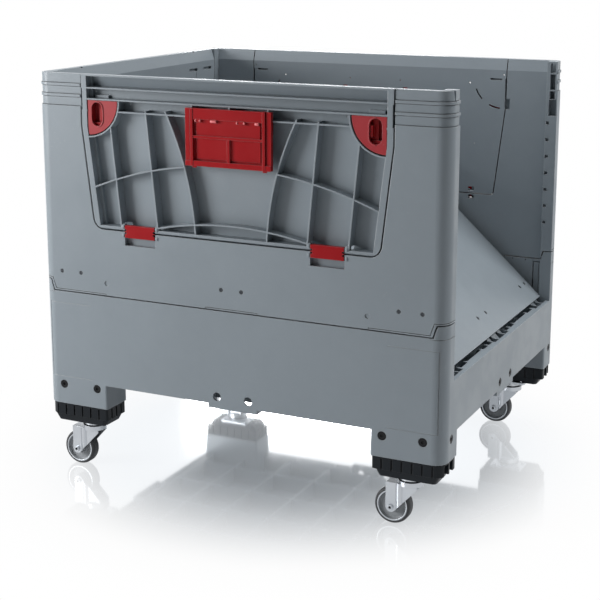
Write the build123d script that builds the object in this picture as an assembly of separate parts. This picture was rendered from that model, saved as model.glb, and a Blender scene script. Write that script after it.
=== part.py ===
from build123d import *
from math import cos, radians, sin
import os

# A folding bulk container on four swivel castors, in millimetres.
# The origin is on the floor under the middle. X runs along the long sides, the front is at -Y.

# Overall size
LENGTH = 1200.0
WIDTH = 1000.0
HEIGHT = 1140.0
HALF_L = LENGTH / 2
HALF_W = WIDTH / 2
CORNER_R = 36.0

# Levels above the floor
CAP_Z = 145.0
LEG_Z = 200.0
STUB_Z = 258.0
SKIRT_Z = 270.0
DECK_UNDER_Z = 327.0
DECK_Z = 335.0
LEDGE_Z = 409.0
SEAM_Z = 530.0
TOWER_Z = 561.0
SILL_Z = 718.5

# Walls
SKIN = 5.0
WALL = 34.0
SEAM_GAP = 3.2
POST_RETURN = 62.0
INNER_X = HALF_L - WALL
INNER_Y = HALF_W - WALL
JAMB_Y = HALF_W - POST_RETURN
WALL_FOOT_Z = SEAM_Z + SEAM_GAP
TOWER_LEAN = 10.0
COLLAR_DEPTH = 3.0
COLLAR_HEIGHT = 87.0
COLLAR_RIB = 7.0
COLLAR_RIB_DROPS = (26.5, 55.5)
COLLAR_LINE = 1.6
LIP_DEPTH = 10.0
LIP_HEIGHT = 34.0
SEAM_LINE_MIDDLE = 78.0
SEAM_LINE_END = (391.0, 558.0)
SEAM_LINE = 2.0
SEAM_LINE_RISE = 3.2
SEAM_LINE_DEPTH = 2.4
SEAM_NOTCH = 2.5
GATE_MARK = (389.0, 567.5)
GATE_MARK_R = 7.0
GATE_MARK_DEPTH = 2.0

# Legs and the stubs in the middle of each side
LEG_LENGTH = 200.0
LEG_WIDTH = 100.0
LEG_WALL = 6.0
LEG_R = 6.0
STUB_HALF = 74.0
STUB_DEPTH = 40.0
STUB_HOLE_X = 47.0
STUB_HOLE_Z = 291.0
STUB_HOLE_R = 12.0
STUB_BACK_Z = 276.0

# Grooves inside the base's corners
GROOVE = 3.5
GROOVE_DEPTH = 5.0
GROOVE_X = 537.0
GROOVE_Z = 523.0
FINE_GROOVE_X = 555.0
FINE_GROOVE = 2.0
PIN_MARK_X = (470.0, 512.0)
PIN_MARK_Z = 525.0
PIN_MARK = 4.5
PANEL_X = (444.0, 581.0)
PANEL_Z = (281.0, 497.0)
PANEL_LINE = 1.6
PANEL_LINE_DEPTH = 1.3
TOWER_LINE_X = 556.0
TOWER_LINE_Z = 527.0

# Socket screws of the foot caps
CAP_SCREW_Z = 257.0
CAP_SCREW_LONG_X = (432.0, 543.0)
CAP_SCREW_SHORT_Y = 447.0
CAP_SCREW_HEAD_R = 12.0
CAP_SCREW_HEAD = 5.0
CAP_SCREW_R = 4.0
CAP_SCREW_REACH = 16.0

# Castors
CASTOR_X = 489.0
CASTOR_Y = 433.0
TRAIL = 47.0
WHEEL_R = 50.0
TYRE_DEPTH = 7.5
WHEEL_HALF = 16.0
HUB_HALF = 18.0
HUB_R = 15.0
AXLE_R = 5.0
AXLE_HALF = 25.0
PLATE_LENGTH = 104.0
PLATE_WIDTH = 66.0
PLATE = 5.0
PLATE_BOLT_X = 40.0
PLATE_BOLT_Y = 23.0
PLATE_BOLT_R = 4.0
RACE_R = 33.0
RACE = 8.0
CROWN_Z = 118.0
CROWN = 5.0
KINGPIN_R = 8.0
FORK_GAP = 20.0
FORK_SHEET = 3.5
FORK_STEP = 0.9
FORK_BEAD_X = 23.0
FORK_BEAD_R = 8.0

# Fits
RUNNING = 0.06
FREE = 1.0

# Hinges of the long walls
LONG_ROD_R = 4.0
LONG_ROD_Y = 475.0
LONG_ROD_Z = 521.0
LONG_ROD_HALF = 530.0
TONGUE_X = (90.0, 270.0, 407.0)
TONGUE_HALF = 35.0
TONGUE_DEPTH = 18.0
TONGUE_DROP = 18.0
POST_CELL_X = 490.0

# Hinges of the short walls
SHORT_HINGE_X = 573.0
SHORT_HINGE_Z = 386.0
SHORT_ROD_R = 5.0
SHORT_ROD_HALF = 430.0
SHORT_FOOT_Z = 412.0
SHORT_OUTER_X = 598.0
SHORT_HALF = 436.0
KNUCKLES = ((0.0, 19.0), (46.0, 11.0), (383.0, 14.0), (420.0, 10.0))
KNUCKLE_R = 9.0
CHANNEL_X = 588.0
CHANNEL_Z = 368.0
BEARERS = ((27.5, 4.5), (64.0, 4.5), (100.0, 8.0), (145.0, 8.0), (270.0, 8.0), (328.0, 8.0), (362.0, 4.5),
           (403.0, 4.5))
BEARER_TIP_X = (558.0, 567.0)
BEARER_TIP_Z = 392.0
LEDGE_BLOCKS = ((64.0, 145.0, 581.0), (145.0, 270.0, 576.0), (270.0, 328.0, 580.0))
SHORT_CELL_PITCH = 62.0
SHORT_CELLS = 6
RIGHT_WALL_FOLD = 47.5

# Loading flaps
FLAP_GAP = 3.0
LEAD_IN = 1.5
FLAP_FOOT_Z = SILL_Z + FLAP_GAP
FLAP_TOP_HALF = 452.0
FLAP_FOOT_HALF = 419.0
FLAP_TAPER_Z = 1000.0
FLAP_CORNER_R = 30.0
FLAP_REBATE = 20.0
FLAP_REBATE_DEPTH = 22.0
FLAP_SKIN = 5.0
FLAP_SIDE = 16.0
FLAP_STEP = 8.0
FLAP_STEP_Y = 482.0
FLAP_FOOT = 9.5
FLAP_HEAD = 4.5
FLAP_RIB = 4.0
FLAP_EDGE = 3.0
RAIL_Z = (1104.0, 1074.0, 1043.0)
RIB_FOOT_Z = 722.0
ARC_RIB = ((191.0, 1050.0), (135.5, 908.0), (105.0, RIB_FOOT_Z))
RIB_LINES = (((252.0, 1050.0), (220.0, RIB_FOOT_Z)), ((363.0, 1005.0), (334.5, RIB_FOOT_Z)))
LABEL_RIB_X = 111.0
UPPER_ARC_R = 1106.0
UPPER_ARC_Z = -189.0
LOWER_ARC_R = 986.0
LOWER_ARC_Z = -224.0
SLOT = 2.5
SLOT_OUTER_Z = (1045.0, 1102.0)
SLOT_INNER_Z = (992.0, 1080.0)
VENTS = ((316.5, 1064.0, 2.5), (424.0, 1092.0, 2.2), (336.0, 877.0, 1.4), (400.0, 851.0, 1.4),
         (86.0, 1062.0, 2.2))

# Flap hinge clips
CLIP_X = 277.5
CLIP_HALF = 46.5
CLIP_LOW_Z = 708.0
CLIP_HIGH_Z = 732.0
CLIP_PIN_Y = 494.0
CLIP_PIN_R = 3.5
CLIP_BARREL_R = 5.5
CLIP_FACE_Y = 502.0
CLIP_SHEET = 5.0
CLIP_NOTCH = 5.0
RECESS_HALF = 48.0
RECESS_Z = 681.0
RECESS_TOP_Z = 746.0
RECESS_DEPTH = 14.0
LUG = 7.5
PEEP = (-51.0, 51.0)
PEEP_WIDTH = 19.5
PEEP_HEIGHT = 13.0
PEEP_LOW_Z = 709.0
PEEP_HIGH_Z = 734.0

# Flap catches
CATCH_X = 434.0
CATCH_Z = 1071.0
CATCH_R = 93.5
CATCH_RIM = 97.0
CATCH_FACE_Y = 498.0
CATCH_SHEET = 3.5
CATCH_WALL = 3.0
FINGER_X = 405.0
FINGER_Z = 1034.0
FINGER_WIDTH = 34.0
FINGER_HEIGHT = 64.0
FINGER_COLLAR = 6.0
HOOK_TOP = (400.5, 1078.0, 37.0, 5.0)
HOOK_X = 420.0
HOOK_Z = 1077.0
HOOK_ARC_R = 87.5
HOOK_ARC_ANGLES = (212.5, 254.5)
HOOK_ARC_SPAN = 21.0
HOOK = 5.0
HOOK_BOSS = 8.0
BOLT_Z = 1004.0
BOLT_Y = 485.0
BOLT_HEIGHT = 14.0
BOLT_THICK = 9.0
BOLT_TIP_X = 447.0
BOLT_TAIL_X = 384.0
BOLT_TRAVEL = 16.0
BOLT_TAB = 6.0
BOLT_TAB_HALF = 15.0
BOLT_PLAY = 0.6
BOLT_PLATE_X = (386.0, 407.0)
BOLT_PLATE = 3.5
WINDOW_X = (431.0, 445.5)
WINDOW_HALF = 16.0

# Label holders
LABEL_HALF = 125.0
LABEL_LOW_Z = 917.0
LABEL_HIGH_Z = 1067.0
LABEL_BACK_Y = 500.2
LABEL_SHEET = 3.0
LABEL_DEPTH = 13.8
LABEL_FIELD_HALF = 93.0
LABEL_POST = (101.0, 109.0, 112.0)
LABEL_HEADER = 28.0
LABEL_LUG = 7.0
LABEL_LUGS = ((-85.0, 8.0), (-39.0, 9.5), (40.0, 12.5), (87.0, 6.0))
LABEL_BAR = (990.0, 997.0)
LABEL_FOOT = 14.0
LABEL_LEG_X = 103.0
LABEL_LEG_Z = 1021.0
LABEL_LEG_WIDTH = 15.0
LABEL_LEG_HEIGHT = 36.0

# Locks of the short walls
LOCK_Z = 1003.0
LOCK_LENGTH = 92.0
LOCK_TRAVEL = 14.0
LOCK_FLANGE = (579.0, 589.0)
LOCK_FLANGE_HEIGHT = 46.0
LOCK_THUMB_HEIGHT = 31.0
LOCK_THUMB_LENGTH = 62.0
LOCK_KEEPER_DEPTH = 22.0
POST_POCKETS = ((1028.0, 1052.0), (1056.0, 1102.0), (1106.0, 1134.0))
POST_POCKET_X = (576.5, 592.0)
POST_POCKET_DEPTH = 28.0
KEEPER_X = (574.5, 597.0)
DIMPLE = 9.5
DIMPLE_DEPTH = 7.0
DIMPLE_PITCH = 50.5
DIMPLE_LOW_Z = 649.0
DIMPLE_COUNT = 7

# Small wall screws
SCREW_Z = 589.0
SCREW_LONG_X = (30.0, 473.0, 536.0)
SCREW_SHORT_Y = (34.0, 364.0, 410.0)
SCREW_RISE = 60.0
SCREW_HEAD_R = 5.5
SCREW_HEAD = 2.5
SCREW_R = 2.5
SCREW_REACH = 12.0


def about(middle, half):
    """The two values at a distance either side of a middle."""
    return (middle - half, middle + half)


def span(x, y, z):
    """A block between two values on each axis."""
    middle = [(side[0] + side[1]) / 2 for side in (x, y, z)]
    size = [abs(side[1] - side[0]) for side in (x, y, z)]
    return Pos(*middle) * Box(*size)


def rod_x(radius, x, y, z):
    """A round bar along X between two values of x."""
    bar = Rot(0, 90, 0) * Cylinder(radius, x[1] - x[0])
    return Pos((x[0] + x[1]) / 2, y, z) * bar


def rod_y(radius, x, y, z):
    """A round bar along Y between two values of y."""
    bar = Rot(90, 0, 0) * Cylinder(radius, y[1] - y[0])
    return Pos(x, (y[0] + y[1]) / 2, z) * bar


def rod_z(radius, x, y, z):
    """A round bar along Z between two values of z."""
    return Pos(x, y, (z[0] + z[1]) / 2) * Cylinder(radius, z[1] - z[0])


def outline(points):
    """A polygon through the points, wound anticlockwise."""
    pairs = zip(points, points[1:] + points[:1])
    area = sum(a[0] * b[1] - b[0] * a[1] for a, b in pairs)
    ordered = points if area > 0 else points[::-1]
    return Polygon(*ordered, align=None)


def front_prism(face, y):
    """A face drawn in x and z, drawn out between two values of y."""
    plane = Plane((0, y[1], 0), x_dir=(1, 0, 0), z_dir=(0, -1, 0))
    return extrude(plane * face, y[1] - y[0])


def side_prism(points, x):
    """A polygon drawn in y and z, drawn out between two values of x."""
    plane = Plane((x[0], 0, 0), x_dir=(0, 1, 0), z_dir=(1, 0, 0))
    return extrude(plane * outline(points), x[1] - x[0])


def level_prism(length, width, radius, z):
    """A rounded rectangle about the Z axis, drawn up between two levels."""
    return extrude(Pos(0, 0, z[0]) * RectangleRounded(length, width, radius), z[1] - z[0])


def left(piece):
    """The piece's twin on the other side of the middle."""
    return mirror(piece, Plane.YZ)


def rear(piece):
    """The piece's twin at the rear, turned half round."""
    return Rot(0, 0, 180) * piece


def both_sides(pieces):
    """The pieces and their twins on the left."""
    return pieces + [left(piece) for piece in pieces]


def all_round(pieces):
    """The pieces of the front right quarter, and those of the other three."""
    front = both_sides(pieces)
    return front + [rear(piece) for piece in front]


def outer_ring(depth, z):
    """The outer skin of the container, to a depth, between two levels."""
    outside = level_prism(LENGTH, WIDTH, CORNER_R, z)
    return outside - level_prism(LENGTH - 2 * depth, WIDTH - 2 * depth, CORNER_R - depth, z)


def front_sink(x):
    """The stepped hole of a small wall screw in the front face."""
    head = rod_y(SCREW_HEAD_R + 0.3, x, (-HALF_W - FREE, -HALF_W + SCREW_HEAD + 0.5), SCREW_Z)
    return head + rod_y(SCREW_R, x, (-HALF_W, -HALF_W + SCREW_REACH), SCREW_Z)


def side_sink(y):
    """The stepped hole of a small wall screw in the right wall, upright."""
    z = SHORT_FOOT_Z + SCREW_RISE
    head = rod_x(SCREW_HEAD_R + 0.3, (SHORT_OUTER_X - SCREW_HEAD - 0.5, SHORT_OUTER_X + FREE), y, z)
    return head + rod_x(SCREW_R, (SHORT_OUTER_X - SCREW_REACH, SHORT_OUTER_X), y, z)


# Base

def mirrored(rows):
    """The rows along y, each with its twin on the other side of the middle."""
    return [(side * row[0], *row[1:]) for row in rows for side in ((1, -1) if row[0] else (1,))]


def bearer(y, thick):
    """One bearer of the right short wall's hinge rod."""
    low = CHANNEL_Z - FREE
    outer = CHANNEL_X + FREE
    points = ((outer, low), (outer, LEDGE_Z), (BEARER_TIP_X[1], LEDGE_Z), (BEARER_TIP_X[0], BEARER_TIP_Z),
              (BEARER_TIP_X[0], low))
    return front_prism(outline(points), about(y, thick / 2))


def ledge_blocks():
    """The blocks that narrow the right short wall's hinge channel."""
    blocks = []
    for near, far, inner in LEDGE_BLOCKS:
        block = span((inner, CHANNEL_X + FREE), (near, far), (CHANNEL_Z - FREE, LEDGE_Z))
        blocks += [block, mirror(block, Plane.XZ)]
    return blocks


def corner_block(inset, z):
    """The plan of the front right leg, less a margin, drawn up between two levels."""
    plan = RectangleRounded(LEG_LENGTH - 2 * inset, LEG_WIDTH - 2 * inset, LEG_R)
    place = Pos(HALF_L - LEG_LENGTH / 2, -HALF_W + LEG_WIDTH / 2, z[0])
    block = place * extrude(plan, z[1] - z[0])
    return block & level_prism(LENGTH - 2 * inset, WIDTH - 2 * inset, CORNER_R - inset, z)


def leg():
    """The front right leg."""
    return corner_block(0, (LEG_Z, DECK_UNDER_Z))


def leg_hollow():
    """The space inside the front right leg, open below."""
    return corner_block(LEG_WALL, (LEG_Z - FREE, DECK_UNDER_Z - FREE))


def tower():
    """The part of the front right corner that stands above the long side."""
    points = ((INNER_X - FREE, SEAM_Z - FREE), (HALF_L, SEAM_Z - FREE), (HALF_L, TOWER_Z),
              (INNER_X + TOWER_LEAN, TOWER_Z), (INNER_X, SEAM_Z))
    block = front_prism(outline(points), (-HALF_W, -JAMB_Y))
    return block & level_prism(LENGTH, WIDTH, CORNER_R, (SEAM_Z - FREE, TOWER_Z))


def stubs():
    """The front stub and the right stub."""
    front = span((-STUB_HALF, STUB_HALF), (-HALF_W, -HALF_W + STUB_DEPTH), (STUB_Z, DECK_UNDER_Z))
    side = span((HALF_L - STUB_DEPTH, HALF_L), (-STUB_HALF, STUB_HALF), (STUB_Z, DECK_UNDER_Z))
    return [front, side]


def stub_hollows():
    """The spaces inside the front stub and the right stub, open below."""
    across = STUB_HALF - SKIN
    low = STUB_Z - FREE
    high = DECK_UNDER_Z - FREE
    front = span((-across, across), (-HALF_W + SKIN, -HALF_W + STUB_DEPTH - SKIN), (low, high))
    side = span((HALF_L - STUB_DEPTH + SKIN, HALF_L - SKIN), (-across, across), (low, high))
    return [front, side]


def base_cells():
    """The hollow cells inside the front side of the base, open below."""
    cells = []
    cell = 2 * (INNER_X - SKIN) / 8
    for i in range(8):
        x = -INNER_X + SKIN + cell * i
        cells.append(span((x + SKIN / 2, x + cell - SKIN / 2), (-HALF_W + SKIN, -INNER_Y - SKIN),
                          (SKIRT_Z, LONG_ROD_Z - TONGUE_DROP)))
    return cells


def deck_ribs():
    """The grid of ribs under the deck."""
    z = (SKIRT_Z + SKIN, DECK_UNDER_Z + FREE)
    along = [span(about(i * LENGTH / 8, SKIN / 2), about(0, INNER_Y), z) for i in range(-3, 4)]
    across = [span(about(0, INNER_X), about(i * WIDTH / 6, SKIN / 2), z) for i in range(-2, 3)]
    return along + across


def cap_screw_holes():
    """The holes for the socket screws in the front right leg and right stub."""
    radius = CAP_SCREW_HEAD_R + 0.3
    front = (-HALF_W - FREE, -HALF_W + LEG_WALL + FREE)
    holes = [rod_y(radius, x, front, CAP_SCREW_Z) for x in CAP_SCREW_LONG_X]
    side = (HALF_L - LEG_WALL - FREE, HALF_L + FREE)
    holes.append(rod_x(radius, side, -CAP_SCREW_SHORT_Y, CAP_SCREW_Z))
    seat = (HALF_L - FREE - CAP_SCREW_HEAD, HALF_L + FREE)
    holes.append(rod_x(radius, seat, -STUB_HOLE_X, STUB_HOLE_Z))
    holes.append(rod_x(CAP_SCREW_R, (HALF_L - CAP_SCREW_REACH, HALF_L), -STUB_HOLE_X, STUB_HOLE_Z))
    return holes


def corner_grooves():
    """The grooves and pin marks of the inner panel beside the front right corner."""
    depth = (-INNER_Y - GROOVE_DEPTH, -INNER_Y + FREE)
    upright = span(about(GROOVE_X, GROOVE / 2), depth, (DECK_Z, GROOVE_Z))
    level = span((GROOVE_X - GROOVE / 2, INNER_X - FREE), depth, (GROOVE_Z - GROOVE, GROOVE_Z))
    shallow = (-INNER_Y - FINE_GROOVE, -INNER_Y + FREE)
    fine = span(about(FINE_GROOVE_X, FINE_GROOVE / 2), shallow, (DECK_Z, GROOVE_Z - GROOVE - SKIN))
    sunk = (-INNER_Y - PIN_MARK + FREE, -INNER_Y + FREE)
    marks = [span(about(x, PIN_MARK / 2), sunk, about(PIN_MARK_Z, PIN_MARK / 2)) for x in PIN_MARK_X]
    return [upright, level, fine] + marks


def corner_lines():
    """The fine lines outside the front right corner: three sides of a panel, and one under the tower."""
    reach = (-HALF_W - FREE, -HALF_W + CORNER_R)
    upright = outer_ring(PANEL_LINE_DEPTH, PANEL_Z) & span(about(PANEL_X[1], PANEL_LINE / 2), reach, PANEL_Z)
    lines = [upright]
    for z in PANEL_Z:
        level = about(z, PANEL_LINE / 2)
        lines.append(outer_ring(PANEL_LINE_DEPTH / 2, level) & span(PANEL_X, reach, level))
    level = about(TOWER_LINE_Z, PANEL_LINE / 2)
    under = span((TOWER_LINE_X, HALF_L + FREE), (-HALF_W - FREE, -JAMB_Y), level)
    return lines + [outer_ring(PANEL_LINE_DEPTH, level) & under]


def base_tray():
    """The tray with its legs, towers, ledges and stubs."""
    tray = level_prism(LENGTH, WIDTH, CORNER_R, (SKIRT_Z, SEAM_Z))
    tray -= span((-INNER_X, INNER_X), (-INNER_Y, INNER_Y), (DECK_Z, SEAM_Z + FREE))
    tray -= span((-INNER_X, INNER_X), (-INNER_Y, INNER_Y), (SKIRT_Z - FREE, DECK_UNDER_Z))
    cells = base_cells()
    tray -= cells + [rear(cell) for cell in cells]
    ledge = span((INNER_X - FREE, HALF_L + FREE), (-JAMB_Y, JAMB_Y), (LEDGE_Z, SEAM_Z + FREE))
    channel = span((INNER_X - FREE, CHANNEL_X), (-JAMB_Y, JAMB_Y), (CHANNEL_Z, LEDGE_Z + FREE))
    hollow = span((INNER_X + SKIN, HALF_L - SKIN), (-JAMB_Y, JAMB_Y), (SKIRT_Z - FREE, CHANNEL_Z - SKIN))
    tray -= both_sides([ledge, channel, hollow])
    bearers = [bearer(y, thick) for y, thick in mirrored(BEARERS)]
    tray += both_sides(bearers + ledge_blocks())
    tray += all_round([leg(), tower()])
    tray += deck_ribs()
    front_stub, side_stub = stubs()
    tray += [front_stub, rear(front_stub), side_stub, left(side_stub)]
    front_hollow, side_hollow = stub_hollows()
    tray -= [front_hollow, rear(front_hollow), side_hollow, left(side_hollow)]
    under_y = about(-HALF_W + STUB_DEPTH, SKIN + FREE)
    under = span(about(0, STUB_HALF - SKIN), under_y, (STUB_Z - FREE, STUB_BACK_Z))
    tray -= [under, rear(under)]
    tray -= all_round([leg_hollow()])
    boss_x = (HALF_L - CAP_SCREW_REACH - SKIN, HALF_L - FREE)
    boss = rod_x(CAP_SCREW_HEAD_R + SKIN, boss_x, -STUB_HOLE_X, STUB_HOLE_Z)
    tray += all_round([boss])
    stub_hole = rod_y(STUB_HOLE_R, STUB_HOLE_X, (-HALF_W - FREE, -HALF_W + SKIN + FREE), STUB_HOLE_Z)
    tray -= all_round(cap_screw_holes() + [stub_hole])
    notches = []
    for x in TONGUE_X:
        sides = (x - TONGUE_HALF - FREE, x + TONGUE_HALF + FREE)
        depth = (-INNER_Y - TONGUE_DEPTH - FREE, -INNER_Y + FREE)
        notches.append(span(sides, depth, (SEAM_Z - TONGUE_DROP - FREE, SEAM_Z + FREE)))
    tray -= all_round(notches)
    tray -= all_round(corner_grooves() + corner_lines())
    long_bore = rod_x(LONG_ROD_R + RUNNING, about(0, LONG_ROD_HALF), -LONG_ROD_Y, LONG_ROD_Z)
    short_bore = rod_y(SHORT_ROD_R + RUNNING, SHORT_HINGE_X, about(0, SHORT_ROD_HALF), SHORT_HINGE_Z)
    return tray - [long_bore, rear(long_bore), short_bore, left(short_bore)]


# Foot caps

def cap_ribs(x, y, z):
    """Upright slots round a foot cap between two levels, deepest at its outer end."""
    slots = []
    for i in range(1, 7):
        across = about(x[0] + (x[1] - x[0]) * i / 7, 2.5)
        slots.append(span(across, (y[0] - FREE, y[0] + 3.5), z))
        slots.append(span(across, (y[1] - 3.5, y[1] + FREE), z))
    for i in range(1, 4):
        slots.append(span((x[0] - FREE, x[0] + 3.5), about(y[0] + (y[1] - y[0]) * i / 4, 3.5), z))
    for i in range(1, 3):
        slots.append(span((x[1] - 10, x[1] + FREE), about(y[0] + (y[1] - y[0]) * i / 3, 12), z))
    return slots


def foot_cap():
    """The front right foot cap, with the plug that goes up into the leg."""
    inset = 3.0
    ring_z = 165.0
    plug_z = 276.0
    plug_wall = 9.0
    x = (HALF_L - LEG_LENGTH + inset, HALF_L - inset)
    y = (-HALF_W + inset, -HALF_W + LEG_WIDTH - inset)
    ring = corner_block(inset, (ring_z, LEG_Z))
    block_x = (408.0, 586.0)
    block_y = (y[0] + 4, -HALF_W + LEG_WIDTH - inset)
    block_middle = Pos((block_x[0] + block_x[1]) / 2, (block_y[0] + block_y[1]) / 2, 0)
    block_size = (block_x[1] - block_x[0], block_y[1] - block_y[0])
    top = block_middle * Pos(0, 0, ring_z) * RectangleRounded(block_size[0], block_size[1], 12)
    foot = block_middle * Pos(0, 0, CAP_Z) * RectangleRounded(block_size[0] - 20, block_size[1] - 8, 12)
    block = loft([foot, top])
    plug_levels = (LEG_Z, plug_z)
    plug = corner_block(LEG_WALL + FREE, plug_levels) - corner_block(LEG_WALL + FREE + plug_wall, plug_levels)
    cap = ring - cap_ribs(x, y, (ring_z - FREE, LEG_Z - 5)) + block + plug
    front = (-HALF_W, -HALF_W + CAP_SCREW_REACH)
    bores = [rod_y(CAP_SCREW_R, across, front, CAP_SCREW_Z) for across in CAP_SCREW_LONG_X]
    bores.append(rod_x(CAP_SCREW_R, (HALF_L - CAP_SCREW_REACH, HALF_L), -CAP_SCREW_SHORT_Y, CAP_SCREW_Z))
    for i in (-1, 1):
        for j in (-1, 1):
            bores.append(rod_z(PLATE_BOLT_R, CASTOR_X + i * PLATE_BOLT_X, -CASTOR_Y + j * PLATE_BOLT_Y,
                               (CAP_Z - FREE, CAP_Z + 20)))
    return cap - bores


def cap_screw():
    """A socket screw along +Y, with the front of its head at the origin."""
    head = rod_y(CAP_SCREW_HEAD_R, 0, (0, CAP_SCREW_HEAD), 0)
    shank = rod_y(CAP_SCREW_R, 0, (CAP_SCREW_HEAD, CAP_SCREW_REACH - FREE), 0)
    socket = Rot(90, 0, 0) * extrude(RegularPolygon(5.5, 6), CAP_SCREW_HEAD, both=True)
    return head + shank - Pos(0, -CAP_SCREW_HEAD * 0.4, 0) * socket


def cap_screws():
    """The screws of the front right foot cap and of half the right stub."""
    front = [Pos(x, -HALF_W + FREE, CAP_SCREW_Z) * cap_screw() for x in CAP_SCREW_LONG_X]
    turned = Rot(0, 0, 90) * cap_screw()
    side = Pos(HALF_L - FREE, -CAP_SCREW_SHORT_Y, CAP_SCREW_Z) * turned
    stub = Pos(HALF_L - FREE, -STUB_HOLE_X, STUB_HOLE_Z) * turned
    return front + [side, stub]


# Castors, drawn about the swivel axis, with the wheel trailing towards -X

def castor_plate():
    """The top plate with its race and kingpin."""
    plate = Pos(0, 0, CAP_Z - PLATE) * extrude(RectangleRounded(PLATE_LENGTH, PLATE_WIDTH, 8), PLATE)
    race_z = CROWN_Z + RACE + 1.5
    race_height = CAP_Z - PLATE - race_z
    race = Pos(0, 0, race_z + race_height / 2) * Cone(RACE_R - 3, RACE_R - 6, race_height)
    pin = rod_z(KINGPIN_R, 0, 0, (CROWN_Z - CROWN - FREE, race_z + FREE))
    nut = Pos(0, 0, CROWN_Z - CROWN - 7) * extrude(RegularPolygon(12, 6), 6)
    plate = plate + race + pin + nut
    for i in (-1, 1):
        for j in (-1, 1):
            plate -= rod_z(PLATE_BOLT_R, i * PLATE_BOLT_X, j * PLATE_BOLT_Y, (race_z, CAP_Z + FREE))
    return plate


def castor_bolts():
    """The four bolts of one castor plate."""
    bolts = []
    head = 3.5
    for i in (-1, 1):
        for j in (-1, 1):
            place = Pos(i * PLATE_BOLT_X, j * PLATE_BOLT_Y, 0)
            shank = rod_z(PLATE_BOLT_R, 0, 0, (CAP_Z - PLATE, CAP_Z + 18))
            hexagon = Pos(0, 0, CAP_Z - PLATE - head) * extrude(RegularPolygon(6.5, 6), head)
            bolts.append(place * (shank + hexagon))
    return bolts


def castor_fork():
    """The pressed fork: a crown with its race, and two stepped and beaded cheeks down to the axle."""
    boss = 14.0
    tip = CROWN_Z - 12
    cheek = Pos(-TRAIL, WHEEL_R) * Circle(boss)
    web = ((-TRAIL - boss, WHEEL_R), (-TRAIL - boss, CROWN_Z), (22.0, CROWN_Z), (24.0, tip),
           (-TRAIL + boss * cos(radians(40)), WHEEL_R - boss * sin(radians(40))))
    cheek += outline(web)
    outer = FORK_GAP + FORK_SHEET
    fork = front_prism(cheek, (-outer, -FORK_GAP)) + front_prism(cheek, (FORK_GAP, outer))
    for edge, steps in ((-TRAIL + 31, 1), (-TRAIL + boss, 2)):
        pad = cheek & outline(((-TRAIL - boss, 0), (edge, 0), (edge, CROWN_Z), (-TRAIL - boss, CROWN_Z)))
        proud = front_prism(pad, (-outer - steps * FORK_STEP, -FORK_GAP))
        fork += [proud, mirror(proud, Plane.XZ)]
    bead = rod_z(FORK_BEAD_R, -TRAIL + FORK_BEAD_X, -outer + 3, (0, CROWN_Z))
    bead = bead & front_prism(cheek, (-outer - FORK_BEAD_R, -FORK_GAP))
    fork += [bead, mirror(bead, Plane.XZ)]
    crown = rod_z(RACE_R, 0, 0, (CROWN_Z - CROWN, CROWN_Z + RACE))
    crown += span((-TRAIL - boss, 0), (-outer, outer), (CROWN_Z - CROWN, CROWN_Z))
    fork += crown
    fork -= rod_z(KINGPIN_R + RUNNING, 0, 0, (CROWN_Z - CROWN - FREE, CROWN_Z + RACE + FREE))
    reach = outer + 2 * FORK_STEP + FREE
    return fork - rod_y(AXLE_R, -TRAIL, (-reach, reach), WHEEL_R)


def castor_axle():
    """The axle bolt with its head and nut."""
    outer = FORK_GAP + FORK_SHEET + 2 * FORK_STEP
    axle = rod_y(AXLE_R, -TRAIL, (-AXLE_HALF - 6, AXLE_HALF + 6), WHEEL_R)
    hexagon = Rot(90, 0, 0) * extrude(RegularPolygon(8, 6), 4.5)
    head = Pos(-TRAIL, -outer, WHEEL_R) * hexagon
    axle += [head, Pos(-TRAIL, outer + 4.5, WHEEL_R) * hexagon]
    socket = Rot(90, 0, 0) * extrude(RegularPolygon(4.2, 6), 5)
    return axle - Pos(-TRAIL, -AXLE_HALF - 2.5, WHEEL_R) * socket


def wheel_turn(points):
    """A ring round the axle, from a polygon of radius and distance along Y."""
    section = Plane.XY * outline(points)
    ring = revolve(section, Axis.Y)
    return Pos(-TRAIL, 0, WHEEL_R) * ring


def wheel_core():
    """The moulded wheel centre."""
    rim = WHEEL_R - TYRE_DEPTH
    lip = rim - 4.5
    web = 7.0
    bore = AXLE_R + RUNNING
    half = ((bore, -HUB_HALF), (HUB_R, -HUB_HALF), (HUB_R + 3, -web), (lip - 3, -web),
            (lip, -WHEEL_HALF + 2), (rim, -WHEEL_HALF + 2))
    other = tuple((r, -y) for r, y in reversed(half))
    return wheel_turn(half + other)


def wheel_tyre():
    """The solid tyre."""
    rim = WHEEL_R - TYRE_DEPTH
    shoulder = 5.0
    half = ((rim, -WHEEL_HALF), (WHEEL_R - shoulder, -WHEEL_HALF), (WHEEL_R - 1.5, -WHEEL_HALF + 3.5),
            (WHEEL_R, -WHEEL_HALF + 8))
    other = tuple((r, -y) for r, y in reversed(half))
    return wheel_turn(half + other)


# Long walls

def flap_outline(grow, drop):
    """The flap's outline in x and z, grown by a margin at its sides and lowered at its foot."""
    head = FLAP_TOP_HALF + grow
    foot = FLAP_FOOT_HALF + grow
    low = FLAP_FOOT_Z - drop
    top = HEIGHT + FREE
    points = ((-head, top), (-head, FLAP_TAPER_Z), (-foot, low),
              (foot, low), (head, FLAP_TAPER_Z), (head, top))
    face = outline(points)
    corners = face.vertices().sort_by(Axis.Y)[:2]
    return fillet(corners, FLAP_CORNER_R + grow)


def lip_cut(x):
    """The slope on the inner edge of the rim."""
    above = HEIGHT + FREE
    foot = HEIGHT - LIP_HEIGHT
    points = ((-INNER_Y, foot), (-INNER_Y - LIP_DEPTH, HEIGHT), (-INNER_Y - LIP_DEPTH, above),
              (-INNER_Y + FREE, above), (-INNER_Y + FREE, foot))
    return side_prism(points, x)


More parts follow.
